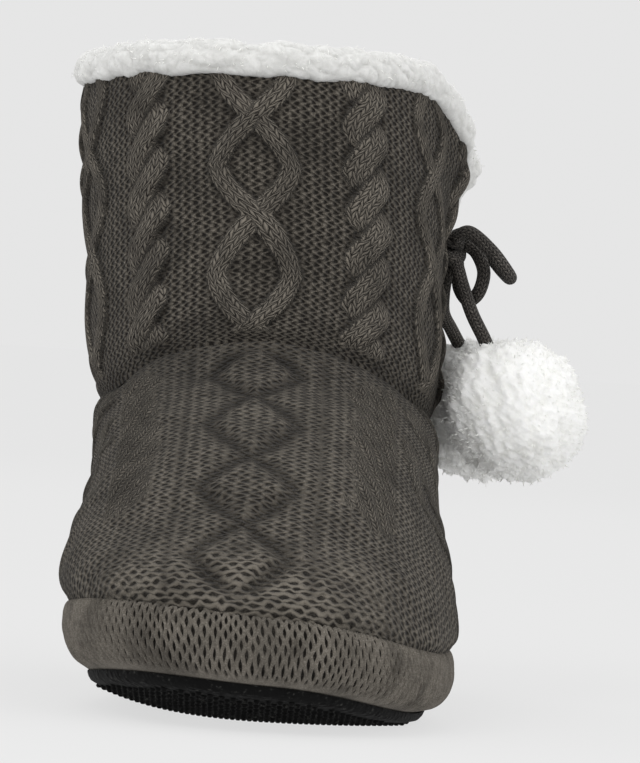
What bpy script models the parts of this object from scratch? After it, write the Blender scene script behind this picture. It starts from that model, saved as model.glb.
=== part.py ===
"""Knit slipper bootie for a left foot: platform sole, knit upper and shaft, fleece collar, pompom tie.

Metres, +Z up. The toe points to -Y, and the slit with its tie is on the outer side, +X.
"""

import math
from collections import namedtuple

import bmesh
import bpy
from mathutils import Vector

for leftover in list(bpy.data.objects):
    bpy.data.objects.remove(leftover)

MM = 0.001
GAP = 0.3 * MM

# The sole's middle line lies this far to the outer side of the middle of the whole shoe
FOOT_X = 6.4 * MM

# Sole: side profiles, bottom to top, as insets from the platform's outline and heights, in millimetres
OUTSOLE_PROFILE = ((9.6, 0.0), (7.6, 1.0), (7.0, 3.2))
PLATFORM_PROFILE = (
    (8.5, 0.0), (4.0, 0.9), (1.3, 3.4), (0.1, 6.8), (0.2, 9.8), (1.4, 12.8), (4.0, 14.8),
)
INSOLE_PROFILE = ((9.0, 0.0), (9.0, 3.5), (11.0, 5.0))

# Its outline: places along the foot are shares of the length, counted from the heel
HEEL_AT = 0.22
WAIST_AT = 0.44
WAIST_REACH = 0.24
BALL_AT = 0.66

# Underside: the forefoot stands on a flat patch, and the toe turns up around it like a spoon
TOE_SPRING = 12.0 * MM
FOREFOOT_Y = -42 * MM
TOE_Y = -131 * MM
SPRING_REACH_IN = 58 * MM
SPRING_REACH_OUT = 92 * MM
FLAT_SHARE = 0.3
SPRING_FADE = 60 * MM
HEEL_SPRING = 2.5 * MM
HEEL_SPRING_Y = 102 * MM
HEEL_SPRING_REACH = 29 * MM
ARCH_LIFT = 1.5 * MM
ARCH_Y = 22 * MM
ARCH_REACH = 34 * MM

# Knit walls
KNIT_WALL = 3.0 * MM
THROAT_CURVE = 2.2
LEAN = 0.062
LEAN_FROM = 19 * MM
SHAFT_CENTRE_Y = 65 * MM

# Slit on the outer side of the shaft
SLIT_TURN = 0.42 * math.pi
SLIT_START = 0.55
SLIT_HALF_TURN = 0.19
SLIT_CURVE = 0.7
FLARE_FRONT = 6.0 * MM
FLARE_REAR = 7.0 * MM
FLARE_REACH = 15 * MM
CORNER_DROP_FRONT = 17 * MM
CORNER_DROP_REAR = 10 * MM
CORNER_REACH = 58 * MM
COLLAR_GIRTH = 356 * MM

# Collar: it dips a little on the inner side, and its fleece swells in soft lumps with locks on them
COLLAR_DIP_IN = 3.0 * MM
COLLAR_SWELL = 0.1
COLLAR_LUMP_PACE = 2.4
COLLAR_LOCK = 1.6 * MM
COLLAR_STARTS = 0.65

# Section of the fleece: way out of the wall, way off its edge, in millimetres, and whether locks stand there
RIM_CLEARANCE = 1.2
COLLAR_PROFILE = (
    (1.4, RIM_CLEARANCE, False),
    (2.2, 3.6, True),
    (0.8, 6.2, True),
    (-3.2, 7.4, True),
    (-7.6, 5.4, True),
    (-9.6, 1.4, True),
    (-8.8, -2.2, False),
    (-5.7, -2.0, False),
    (-5.7, RIM_CLEARANCE, False),
)

# Tie
CORD_DIAMETER = 4.0 * MM
KNOT_RADII = (3.6 * MM, 5.4 * MM, 5.0 * MM)
POMPOM_RADII = (20.2 * MM, 20.2 * MM, 20.8 * MM)
POMPOM_LOCK = 2.2 * MM
CORD_STEP = 1.4 * CORD_DIAMETER
CORD_SAMPLES = 20

RING_POINTS = 56
CROSS_POINTS = 6
UPPER_LEVELS = (0, 0.06, 0.125, 0.25, 0.375, 0.5, 0.625, 0.75, 0.875, 0.95, 1)
SHAFT_LEVELS = (0, 0.08, 0.2, 0.38, SLIT_START, 0.6, 0.7, 0.8, 0.9, 1)

# One level of the shoe: heights and reach at its front and back, half-widths, the hollow on the inner
# side of the waist, how far the ends' rounding reaches, and how much of the toe spring it follows
Section = namedtuple(
    "Section",
    "z_front z_back y_front y_back heel ball waist_in toe_in heel_turn toe_turn fullness spring",
)


def in_mm(z_front, z_back, y_front, y_back, heel, ball, waist_in, toe_in, *shape):
    """One table row, with its first eight columns given in millimetres."""
    sizes = (z_front, z_back, y_front, y_back, heel, ball, waist_in, toe_in)
    return Section(*(size * MM for size in sizes), *shape)


# The platform's widest outline; its height comes from the side's profile
RAND = in_mm(0, 0, -131, 131, 42.5, 52.4, 5, 5, 0.17, 0.65, 2.3, 1.0)

# Upper, from the platform up to the ankle seam
UPPER_SECTIONS = (
    in_mm(18.6, 18.6, -126, 126.5, 39.0, 49.5, 5.0, 5.0, 0.17, 0.65, 2.30, 1.00),
    in_mm(22.5, 23.0, -128, 128.5, 42.0, 53.0, 5.0, 5.0, 0.17, 0.65, 2.30, 1.00),
    in_mm(30.0, 31.0, -124.5, 129.5, 43.5, 53.0, 4.5, 5.0, 0.18, 0.64, 2.35, 0.80),
    in_mm(41.0, 40.0, -115, 129.5, 44.5, 51.5, 4.0, 4.5, 0.20, 0.62, 2.40, 0.50),
    in_mm(53.5, 48.5, -98, 129.0, 45.5, 49.5, 3.0, 3.5, 0.25, 0.60, 2.40, 0.22),
    in_mm(66.0, 57.0, -79, 128.5, 46.5, 48.0, 1.5, 2.0, 0.32, 0.57, 2.30, 0.06),
    in_mm(78.0, 65.0, -52, 128.0, 48.0, 48.5, 0.5, 1.0, 0.40, 0.54, 2.15, 0.00),
    in_mm(88.0, 71.5, -24, 127.5, 49.0, 49.0, 0.0, 0.3, 0.46, 0.51, 2.05, 0.00),
    in_mm(95.8, 75.0, 3.5, 126.0, 47.6, 47.6, 0.0, 0.0, 0.50, 0.50, 2.00, 0.00),
)

# Shaft, from the ankle seam up to the collar
SHAFT_SECTIONS = (
    in_mm(96.2, 75.4, 3.5, 126.0, 47.6, 47.6, 0, 0, 0.5, 0.5, 2.0, 0),
    in_mm(106.0, 88.0, 1.0, 128.0, 50.2, 50.2, 0, 0, 0.5, 0.5, 2.0, 0),
    in_mm(122.0, 110.0, 2.0, 127.5, 50.8, 50.8, 0, 0, 0.5, 0.5, 2.0, 0),
    in_mm(139.0, 132.5, 3.0, 127.5, 51.6, 51.6, 0, 0, 0.5, 0.5, 2.0, 0),
    in_mm(157.0, 154.5, 3.5, 128.0, 52.2, 52.2, 0, 0, 0.5, 0.5, 2.0, 0),
    in_mm(175.0, 175.0, 3.0, 128.5, 52.2, 52.2, 0, 0, 0.5, 0.5, 2.0, 0),
)


def mix(start, end, share):
    return start + (end - start) * share


def smooth(share):
    share = min(max(share, 0.0), 1.0)
    return share * share * (3 - 2 * share)


def hump(share):
    """A smooth hump of height 1 that is nothing beyond a share of -1 and 1."""
    return (1 - share * share) ** 2 if abs(share) < 1 else 0.0


def round_end(share, fullness):
    return max(0.0, 1 - share ** fullness) ** (1 / fullness)


def section_at(rows, share):
    """Read a table of sections as one smooth run, from its first row at 0 to its last at 1."""
    reading = share * (len(rows) - 1)
    row = min(int(reading), len(rows) - 2)
    step = reading - row

    def spline(before, start, end, after):
        cubic = -before + 3 * start - 3 * end + after
        square = 2 * before - 5 * start + 4 * end - after
        return start + (cubic * step ** 3 + square * step ** 2 + (end - before) * step) / 2

    before = rows[max(row - 1, 0)]
    after = rows[min(row + 2, len(rows) - 1)]
    return Section(*map(spline, before, rows[row], rows[row + 1], after))


def half_width(section, along, side):
    width = mix(section.heel, section.ball, smooth((along - HEEL_AT) / (BALL_AT - HEEL_AT)))
    if side < 0:
        width -= section.waist_in * hump((along - WAIST_AT) / WAIST_REACH)
    if along < section.heel_turn:
        width *= round_end(1 - along / section.heel_turn, 2)
    elif along > section.toe_turn:
        width *= round_end((along - section.toe_turn) / (1 - section.toe_turn), section.fullness)
    return width


def lift(x, y):
    """How far the sole's underside is off the floor at a place."""
    reach = SPRING_REACH_OUT if x > 0 else SPRING_REACH_IN
    ahead = max(0.0, FOREFOOT_Y - y) / (FOREFOOT_Y - TOE_Y)
    from_patch = math.hypot(x / reach, ahead)
    toe = TOE_SPRING * max(0.0, (from_patch - FLAT_SHARE) / (1 - FLAT_SHARE)) ** 2
    toe *= 1 - smooth((y - FOREFOOT_Y) / SPRING_FADE)
    heel = HEEL_SPRING * max(0.0, (y - HEEL_SPRING_Y) / HEEL_SPRING_REACH) ** 2
    return toe + heel + ARCH_LIFT * hump((y - ARCH_Y) / ARCH_REACH)


def level_point(section, turn):
    """A point on a level: turn 0 is the heel, a quarter the outer side, a half the toe."""
    along = (1 - math.cos(turn)) / 2
    side = 1 if math.sin(turn) >= 0 else -1
    x = side * half_width(section, along, side) - section.toe_in * smooth((along - 0.5) / 0.5)
    y = mix(section.y_back, section.y_front, along)
    z = mix(section.z_back, section.z_front, along ** THROAT_CURVE) + section.spring * lift(x, y)
    return Vector((x, y, z))


def lean(point):
    """The soft upper leans a little to the inner side as it rises from the platform."""
    point.x -= LEAN * max(0.0, point.z - LEAN_FROM)
    return point


def inset_outline(inset, height):
    """The platform's outline moved in by an inset, at a height over the floor before the toe spring."""
    return RAND._replace(
        z_front=height,
        z_back=height,
        y_front=RAND.y_front + inset,
        y_back=RAND.y_back - inset,
        heel=RAND.heel - inset,
        ball=RAND.ball - inset,
    )


def away_from_leg(x, y):
    return Vector((x, y - SHAFT_CENTRE_Y, 0)).normalized()


def shaft_point(around, up):
    """A point on the shaft: around runs from the slit's front edge over the instep to its rear edge."""
    section = section_at(SHAFT_SECTIONS, up)
    opened = max(0.0, (up - SLIT_START) / (1 - SLIT_START))
    half_gap = SLIT_HALF_TURN * opened ** SLIT_CURVE
    turn = SLIT_TURN + half_gap + (2 * math.pi - 2 * half_gap) * around
    point = level_point(section, turn)
    outward = away_from_leg(point.x, point.y)
    to_front = around * COLLAR_GIRTH
    to_rear = (1 - around) * COLLAR_GIRTH
    flare = FLARE_FRONT * math.exp(-(to_front / FLARE_REACH) ** 2)
    flare += FLARE_REAR * math.exp(-(to_rear / FLARE_REACH) ** 2)
    point += outward * flare * smooth(opened)
    drop = CORNER_DROP_FRONT * max(0.0, 1 - to_front / CORNER_REACH) ** 3
    drop += CORNER_DROP_REAR * max(0.0, 1 - to_rear / CORNER_REACH) ** 3
    point.z -= drop * opened + COLLAR_DIP_IN * up ** 3 * max(0.0, -outward.x) ** 2
    return lean(point)


def ring_turns():
    return [2 * math.pi * step / RING_POINTS for step in range(RING_POINTS)]


def add_ring(mesh, section):
    return [mesh.verts.new(lean(level_point(section, turn))) for turn in ring_turns()]


def join_rows(mesh, lower, upper, closed):
    """Faces between two rows of vertices, facing out of the shoe."""
    count = len(lower)
    for step in range(count if closed else count - 1):
        following = (step + 1) % count
        mesh.faces.new((lower[following], lower[step], upper[step], upper[following]))


def fill_across(mesh, ring, height):
    """Close a level with rows of faces from side to side that follow the toe spring."""
    half = len(ring) // 2
    rows = []
    for step in range(1, half):
        outer, inner = ring[step], ring[-step]
        row = [outer]
        for across in range(1, CROSS_POINTS):
            spot = outer.co.lerp(inner.co, across / CROSS_POINTS)
            row.append(mesh.verts.new((spot.x, spot.y, height + lift(spot.x, spot.y))))
        rows.append(row + [inner])
    for first, second in zip(rows, rows[1:]):
        join_rows(mesh, first, second, closed=False)
    for tip, row in ((ring[0], rows[0]), (ring[half], rows[-1])):
        for first, second in zip(row, row[1:]):
            mesh.faces.new((tip, first, second))


def make_material(name, colour, roughness):
    material = bpy.data.materials.new(name)
    material.use_nodes = True
    surface = material.node_tree.nodes["Principled BSDF"]
    surface.inputs["Base Color"].default_value = (*colour, 1)
    surface.inputs["Roughness"].default_value = roughness
    surface.inputs["Metallic"].default_value = 0
    return material


def place(part):
    bpy.context.collection.objects.link(part)
    part.parent = bootie
    return part


def add_part(name, mesh, material):
    data = bpy.data.meshes.new(name)
    mesh.to_mesh(data)
    mesh.free()
    data.materials.append(material)
    data.shade_smooth()
    return place(bpy.data.objects.new(name, data))


def slab(name, profile, base, material):
    """A solid of the sole from its side profile, standing at a base height; returns the height of its top."""
    mesh = bmesh.new()
    levels = [(inset * MM, base + height * MM) for inset, height in profile]
    rings = [add_ring(mesh, inset_outline(inset, height)) for inset, height in levels]
    for lower, upper in zip(rings, rings[1:]):
        join_rows(mesh, lower, upper, closed=True)
    top = levels[-1][1]
    fill_across(mesh, rings[0], base)
    fill_across(mesh, rings[-1], top)
    bmesh.ops.recalc_face_normals(mesh, faces=mesh.faces)
    add_part(name, mesh, material)
    return top


def add_wall(part):
    wall = part.modifiers.new("Wall", "SOLIDIFY")
    wall.thickness = KNIT_WALL
    wall.offset = -1
    wall.use_even_offset = True
    wall.use_quality_normals = True


def make_sole():
    rubber = make_material("black_sole", (0.008, 0.008, 0.008), 0.7)
    rand_knit = make_material("rand_knit", (0.09, 0.082, 0.072), 0.95)
    fleece = make_material("insole_fleece", (0.74, 0.74, 0.71), 1.0)
    outsole_top = slab("outsole", OUTSOLE_PROFILE, 0.0, rubber)
    footbed = slab("platform", PLATFORM_PROFILE, outsole_top + GAP, rand_knit)
    slab("insole", INSOLE_PROFILE, footbed + 2 * GAP, fleece)


def make_upper(knit):
    mesh = bmesh.new()
    rings = [add_ring(mesh, section_at(UPPER_SECTIONS, level)) for level in UPPER_LEVELS]
    for lower, upper in zip(rings, rings[1:]):
        join_rows(mesh, lower, upper, closed=True)
    add_wall(add_part("upper", mesh, knit))


def make_shaft(knit):
    mesh = bmesh.new()
    rows = []
    for level in SHAFT_LEVELS:
        closed = level <= SLIT_START
        points = [shaft_point(step / RING_POINTS, level) for step in range(RING_POINTS + 1)]
        row = [mesh.verts.new(point) for point in points[:-1]]
        row.append(row[0] if closed else mesh.verts.new(points[-1]))
        rows.append(row)
    for lower, upper in zip(rows, rows[1:]):
        join_rows(mesh, lower, upper, closed=False)
    add_wall(add_part("shaft", mesh, knit))


def make_fleece_collar():
    """A hooked band that caps the rim, hangs a little way inside, and turns down along the slit."""
    edge_levels = [level for level in SHAFT_LEVELS if COLLAR_STARTS < level < 1]
    path = [(0.0, level) for level in edge_levels]
    path += [(step / RING_POINTS, 1.0) for step in range(RING_POINTS + 1)]
    path += [(1.0, level) for level in reversed(edge_levels)]
    points = [shaft_point(around, up) for around, up in path]
    mesh = bmesh.new()
    rows = []
    for stop, (around, up) in enumerate(path):
        ahead = points[min(stop + 2, len(path) - 1)]
        behind = points[max(stop - 2, 0)]
        point = points[stop]
        outward = away_from_leg(point.x + LEAN * (point.z - LEAN_FROM), point.y)
        off_edge = (ahead - behind).cross(outward).normalized()
        on_slit = around in (0.0, 1.0)
        room = (up - SLIT_START) / (1 - SLIT_START) if on_slit else 1.0
        swell = 1 + COLLAR_SWELL * math.sin(COLLAR_LUMP_PACE * stop) * room
        row = []
        for out, off, lock in COLLAR_PROFILE:
            if lock:
                out *= swell
                off = mix(RIM_CLEARANCE, off * swell, room)
            row.append(mesh.verts.new(point + (outward * out + off_edge * off) * MM))
        rows.append(row)
    count = len(COLLAR_PROFILE)
    locks = []
    for first, second in zip(rows, rows[1:]):
        for step in range(count):
            following = (step + 1) % count
            face = mesh.faces.new((first[step], first[following], second[following], second[step]))
            if COLLAR_PROFILE[step][2] and COLLAR_PROFILE[following][2]:
                locks.append(face)
    mesh.faces.new(rows[0])
    mesh.faces.new(rows[-1])
    bmesh.ops.recalc_face_normals(mesh, faces=mesh.faces)
    bmesh.ops.poke(mesh, faces=locks, offset=COLLAR_LOCK)
    fleece = make_material("collar_fleece", (0.76, 0.76, 0.73), 1.0)
    add_part("fleece_collar", mesh, fleece)


def make_ball(name, centre, radii, subdivisions, lock, material):
    mesh = bmesh.new()
    bmesh.ops.create_icosphere(mesh, subdivisions=subdivisions, radius=1)
    for vertex in mesh.verts:
        vertex.co = Vector(size * share for size, share in zip(radii, vertex.co))
    if lock:
        bmesh.ops.poke(mesh, faces=mesh.faces, offset=lock)
    add_part(name, mesh, material).location = centre


def make_cord(name, route, material):
    """A round cord through a hand-laid route, in millimetres, smoothed and read back evenly."""
    stops = [Vector(stop) * MM for stop in route]
    ends = [stops[0] * 2 - stops[1]] + stops + [stops[-1] * 2 - stops[-2]]
    fine = []
    for before, start, end, after in zip(ends, ends[1:], ends[2:], ends[3:]):
        for step in range(CORD_SAMPLES):
            share = step / CORD_SAMPLES
            cubic = -before + 3 * start - 3 * end + after
            square = 2 * before - 5 * start + 4 * end - after
            fine.append(start + (cubic * share ** 3 + square * share ** 2 + (end - before) * share) / 2)
    fine.append(stops[-1])
    length = sum((second - first).length for first, second in zip(fine, fine[1:]))
    pieces = round(length / CORD_STEP)
    points = []
    travelled = 0.0
    for first, second in zip(fine, fine[1:]):
        if travelled >= len(points) * length / pieces:
            points.append(first)
        travelled += (second - first).length
    points = points[:pieces] + [fine[-1]]
    curve = bpy.data.curves.new(name, "CURVE")
    curve.dimensions = "3D"
    curve.bevel_depth = CORD_DIAMETER / 2
    curve.bevel_resolution = 2
    curve.use_fill_caps = True
    spline = curve.splines.new("POLY")
    spline.points.add(len(points) - 1)
    for target, point in zip(spline.points, points):
        target.co = (*point, 1)
    curve.materials.append(material)
    place(bpy.data.objects.new(name, curve))


# Routes of the tie, in millimetres, from the knot outwards
KNOT_AT = (46.5, 84.6, 130.6)
LOOP_UPPER = (
    (48.7, 79.5, 134.0), (52.5, 75.8, 136.0), (59.1, 74.3, 131.0), (64.3, 76.8, 125.0),
    (65.3, 82.8, 123.6), (63.3, 88.8, 125.6), (57.1, 92.3, 132.3), (51.3, 92.7, 135.6),
    (47.9, 90.1, 134.2),
)
LOOP_LOWER = (
    (51.6, 84.9, 132.6), (55.0, 83.9, 130.6), (57.6, 82.7, 125.0), (56.6, 83.9, 119.0),
    (53.8, 87.5, 116.4), (51.2, 91.2, 119.6), (50.4, 91.6, 124.4), (49.8, 89.2, 128.0),
)
END_FRONT = (
    (49.6, 80.9, 126.2), (51.4, 77.5, 120.6), (54.6, 73.3, 112.4), (58.4, 70.3, 105.4),
)
END_REAR = (
    (46.8, 85.2, 124.2), (46.4, 88.7, 118.0), (47.0, 95.6, 112.2), (50.0, 102.8, 107.4),
)
POMPOM_FRONT_AT = (68.2, 64.0, 84.7)
POMPOM_REAR_AT = (61.0, 109.5, 85.2)


def make_tie():
    cord = make_material("tie_cord", (0.035, 0.03, 0.028), 0.95)
    pile = make_material("pompom_pile", (0.78, 0.78, 0.75), 1.0)
    make_ball("knot", Vector(KNOT_AT) * MM, KNOT_RADII, 2, 0, cord)
    make_cord("loop_upper", LOOP_UPPER, cord)
    make_cord("loop_lower", LOOP_LOWER, cord)
    make_cord("end_front", END_FRONT, cord)
    make_cord("end_rear", END_REAR, cord)
    for name, centre in (("pompom_front", POMPOM_FRONT_AT), ("pompom_rear", POMPOM_REAR_AT)):
        make_ball(name, Vector(centre) * MM, POMPOM_RADII, 3, POMPOM_LOCK, pile)


bootie = bpy.data.objects.new("bootie", None)
bpy.context.collection.objects.link(bootie)
bootie.location.x = FOOT_X

make_sole()
charcoal_knit = make_material("charcoal_knit", (0.062, 0.056, 0.048), 0.95)
make_upper(charcoal_knit)
make_shaft(charcoal_knit)
make_fleece_collar()
make_tie()
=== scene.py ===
import math

import bmesh
import bpy
import numpy as np
from mathutils import Matrix, Vector


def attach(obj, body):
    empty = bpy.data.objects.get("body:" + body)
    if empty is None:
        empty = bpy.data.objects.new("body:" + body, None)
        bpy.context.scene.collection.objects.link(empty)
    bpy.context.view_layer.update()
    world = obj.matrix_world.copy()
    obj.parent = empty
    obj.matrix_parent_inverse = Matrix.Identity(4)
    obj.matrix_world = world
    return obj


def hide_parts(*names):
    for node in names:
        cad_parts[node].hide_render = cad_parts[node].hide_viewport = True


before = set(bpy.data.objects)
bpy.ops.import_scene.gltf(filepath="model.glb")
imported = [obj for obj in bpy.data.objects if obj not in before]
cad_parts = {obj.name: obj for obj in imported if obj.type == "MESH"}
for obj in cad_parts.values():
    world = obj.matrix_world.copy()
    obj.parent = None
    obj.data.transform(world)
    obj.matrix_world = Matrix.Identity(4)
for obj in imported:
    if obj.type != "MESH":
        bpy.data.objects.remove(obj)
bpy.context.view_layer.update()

# Outsole
# A thin black rubber sheet cut to the shoe's outline, glued under the platform. It turns up at the toe
# and is moulded all over with small round grip dots, which are what the shoe stands on.

MM = 0.001
SOLE_SHIFT = 6.4
HEEL_AT, WAIST_AT, WAIST_REACH, BALL_AT = 0.22, 0.44, 0.24, 0.66
TOE_SPRING, FOREFOOT_Y, TOE_Y = 12.0, -42.0, -131.0
SPRING_REACH_IN, SPRING_REACH_OUT, FLAT_SHARE, SPRING_FADE = 58.0, 92.0, 0.3, 60.0
HEEL_SPRING, HEEL_SPRING_Y, HEEL_SPRING_REACH = 2.5, 102.0, 29.0
ARCH_LIFT, ARCH_Y, ARCH_REACH = 1.5, 22.0, 34.0
LEAN, LEAN_FROM = 0.062, 19.0
SOLE_OUTLINE = (0, 0, -131, 131, 42.5, 52.4, 5, 5, 0.17, 0.65, 2.3, 1.0)
OUTSOLE_PROFILE = ((9.6, 0.8), (8.1, 1.0), (7.4, 1.7), (7.0, 2.6), (7.0, 3.2))
OUTSOLE_COLUMNS, OUTSOLE_ROWS, OUTSOLE_ACROSS = 360, 160, 40
THROAT_CURVE = 2.2
OUTLINE_STEPS, OUTLINE_HEIGHT = 6000, 10.0
END_TURN = 0.02
DOT_PITCH, DOT_RADIUS, DOT_HEIGHT, DOT_SIDES = 3.0, 0.85, 0.8, 6
DOT_RINGS = ((1.0, -0.1), (0.86, 0.5), (0.5, 0.92))
DOT_MARGIN, DOTS_REACH_X, DOTS_REACH_Y, DOTS_EDGE_STEPS = 0.6, 54.0, 121.0, 360
# Black rubber, with grey specks that stand for dust and painted glints
RUBBER_BLACK, RUBBER_DUST_AND_GLINT = (0.004, 0.004, 0.004, 1), (0.04, 0.04, 0.037, 1)
RUBBER_PIMPLES, RUBBER_GRAIN, RUBBER_DEPTH = 420.0, 900.0, 0.0006


def mix(start, end, share):
    return start + (end - start) * share


def smooth(share):
    share = np.clip(share, 0, 1)
    return share * share * (3 - 2 * share)


def hump(share):
    return np.where(np.abs(share) < 1, (1 - share * share) ** 2, 0)


def round_end(share, fullness):
    return np.maximum(0, 1 - np.clip(share, 0, 1) ** fullness) ** (1 / fullness)


def floor_lift(x, y):
    """How far the sole's underside is off the floor."""
    reach = np.where(x > 0, SPRING_REACH_OUT, SPRING_REACH_IN)
    ahead = np.maximum(0, FOREFOOT_Y - y) / (FOREFOOT_Y - TOE_Y)
    toe = TOE_SPRING * np.maximum(0, (np.hypot(x / reach, ahead) - FLAT_SHARE) / (1 - FLAT_SHARE)) ** 2
    toe = toe * (1 - smooth((y - FOREFOOT_Y) / SPRING_FADE))
    heel = HEEL_SPRING * np.maximum(0, (y - HEEL_SPRING_Y) / HEEL_SPRING_REACH) ** 2
    return toe + heel + ARCH_LIFT * hump((y - ARCH_Y) / ARCH_REACH)


def level_points(level, turn):
    """Points on a level of the shoe, in millimetres: turn 0 is the heel, pi the toe, +X the outer side."""
    z_front, z_back, y_front, y_back, heel, ball, waist_in, toe_in, heel_turn, toe_turn, full, spring = level
    along = (1 - np.cos(turn)) / 2
    side = np.where(np.sin(turn) >= 0, 1, -1)
    width = mix(heel, ball, smooth((along - HEEL_AT) / (BALL_AT - HEEL_AT)))
    width = width - (side < 0) * waist_in * hump((along - WAIST_AT) / WAIST_REACH)
    width = width * np.where(along < heel_turn, round_end(1 - along / heel_turn, 2), 1)
    width = width * np.where(along > toe_turn, round_end((along - toe_turn) / (1 - toe_turn), full), 1)
    x = side * width - toe_in * smooth((along - 0.5) / 0.5)
    y = mix(y_back, y_front, along)
    z = mix(z_back, z_front, along ** THROAT_CURVE) + spring * floor_lift(x, y)
    return np.stack(np.broadcast_arrays(x, y, z), axis=-1)


def leaned(points):
    """The soft shoe leans a little to its inner side as it rises."""
    points = np.array(points, float)
    points[..., 0] -= LEAN * np.maximum(0, points[..., 2] - LEAN_FROM)
    return points


def inset_outline(inset, height):
    """The sole's outline moved in, as a level at a height."""
    outline = [np.asarray(value, float) for value in SOLE_OUTLINE]
    outline[0] = outline[1] = height
    outline[2], outline[3] = outline[2] + inset, outline[3] - inset
    outline[4], outline[5] = outline[4] - inset, outline[5] - inset
    return outline


def outline_ring(inset, height, turns):
    """Points round the sole's outline moved in, at a height."""
    return leaned(level_points(inset_outline(inset, height), turns))


def even_turns(count):
    """Turns round the sole's outline that are evenly far apart, with the first one again at the end."""
    fine = np.linspace(0, 2 * np.pi, OUTLINE_STEPS + 1)
    ring = level_points(inset_outline(0, OUTLINE_HEIGHT), fine)
    run = np.concatenate(([0], np.cumsum(np.linalg.norm(np.diff(ring, axis=0), axis=1))))
    return np.interp(np.linspace(0, run[-1], count + 1), run, fine), run[-1]


def grid_faces(rows, columns, start=0, wrap=False):
    """Quads of a grid of points, facing out of the shoe; a wrapped grid closes on its first column."""
    index = start + np.arange(rows * columns).reshape(rows, columns)
    left = index if wrap else index[:, :-1]
    right = np.roll(index, -1, axis=1) if wrap else index[:, 1:]
    return np.stack((left[:-1], left[1:], right[1:], right[:-1]), axis=-1).reshape(-1, 4)


def new_piece(name, points, faces, material, uv_maps=(), masks=()):
    """A smooth piece from points in millimetres; maps are per face corner and masks per point."""
    placed = np.asarray(points, float).reshape(-1, 3) + (SOLE_SHIFT, 0, 0)
    data = bpy.data.meshes.new(name)
    data.from_pydata((placed * MM).tolist(), [], faces if isinstance(faces, list) else faces.tolist())
    for label, corners in dict(uv_maps).items():
        layer = data.uv_layers.new(name=label)
        layer.uv.foreach_set("vector", np.asarray(corners, np.float32).ravel())
    for label, values in dict(masks).items():
        layer = data.attributes.new(label, "FLOAT", "POINT")
        layer.data.foreach_set("value", np.asarray(values, np.float32).ravel())
    data.materials.append(material)
    data.shade_smooth()
    piece = bpy.data.objects.new(name, data)
    bpy.context.scene.collection.objects.link(piece)
    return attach(piece, "root")


def cross_rows(inset, height, count, across):
    """The floor inside an outline as rows from its outer to its inner side, following the toe spring."""
    turns = np.linspace(END_TURN, np.pi - END_TURN, count)
    outer, inner = outline_ring(inset, height, turns), outline_ring(inset, height, -turns)
    share = np.linspace(0, 1, across)[None, :, None]
    rows = mix(outer[:, None], inner[:, None], share)
    rows[..., 2] = height + floor_lift(rows[..., 0], rows[..., 1])
    return rows


def add_node(tree, kind, inputs=None, **settings):
    node = tree.nodes.new(kind)
    for setting, value in settings.items():
        setattr(node, setting, value)
    for socket, value in (inputs or {}).items():
        if isinstance(value, bpy.types.NodeSocket):
            tree.links.new(value, node.inputs[socket])
        else:
            node.inputs[socket].default_value = value
    return node


def calc(tree, operation, *values):
    return add_node(tree, "ShaderNodeMath", dict(enumerate(values)), operation=operation).outputs[0]


def ease(tree, value, low, high):
    """A soft step of a value from 0 at low to 1 at high."""
    step = add_node(tree, "ShaderNodeMapRange", {0: value, 1: low, 2: high}, interpolation_type="SMOOTHSTEP")
    return step.outputs[0]


def tint(tree, share, first, second):
    """A colour between two others."""
    return add_node(tree, "ShaderNodeMix", {0: share, 6: first, 7: second}, data_type="RGBA").outputs[2]


def noise(tree, place, scale, detail, distortion=0.0):
    inputs = {"Vector": place, "Scale": scale, "Detail": detail, "Distortion": distortion}
    return add_node(tree, "ShaderNodeTexNoise", inputs).outputs


def object_place(tree):
    return add_node(tree, "ShaderNodeTexCoord").outputs["Object"]


def new_material(name, roughness, specular, sheen=0.0):
    material = bpy.data.materials.new(name)
    material.use_nodes = True
    surface = material.node_tree.nodes["Principled BSDF"]
    surface.inputs["Roughness"].default_value = roughness
    surface.inputs["Specular IOR Level"].default_value = specular
    surface.inputs["Sheen Weight"].default_value = sheen
    surface.inputs["Sheen Roughness"].default_value = 0.6
    return material, material.node_tree, surface


def finish_surface(tree, surface, colour, height, distance, strength):
    """Give a surface its colour, and its fine relief as a bump."""
    tree.links.new(colour, surface.inputs["Base Color"])
    bump = add_node(tree, "ShaderNodeBump", {"Height": height, "Distance": distance, "Strength": strength})
    tree.links.new(bump.outputs[0], surface.inputs["Normal"])


rubber, nodes, surface = new_material("dotted_rubber", roughness=0.8, specular=0.08)
place = object_place(nodes)
grain = noise(nodes, place, RUBBER_GRAIN, detail=4.0)[0]
cells = add_node(nodes, "ShaderNodeTexVoronoi", {"Vector": place, "Scale": RUBBER_PIMPLES})
pimple = calc(nodes, "MULTIPLY_ADD", grain, 0.3, ease(nodes, cells.outputs["Distance"], 0.6, 0.1))
# Grey specks at random over the black: dust and painted glints
speckled = tint(nodes, ease(nodes, grain, 0.58, 0.72), RUBBER_BLACK, RUBBER_DUST_AND_GLINT)
finish_surface(nodes, surface, speckled, pimple, RUBBER_DEPTH, strength=0.8)

turns, _ = even_turns(OUTSOLE_COLUMNS)
side = np.stack([outline_ring(*step, turns[:-1]) for step in OUTSOLE_PROFILE])
bottom_inset, bottom_height = OUTSOLE_PROFILE[0]
bottom = cross_rows(bottom_inset, bottom_height, OUTSOLE_ROWS, OUTSOLE_ACROSS)
points = [side.reshape(-1, 3), bottom.reshape(-1, 3)]
faces = [grid_faces(*side.shape[:2], wrap=True), grid_faces(*bottom.shape[:2], start=side.size // 3)]
faces = np.concatenate(faces).tolist()

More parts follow.
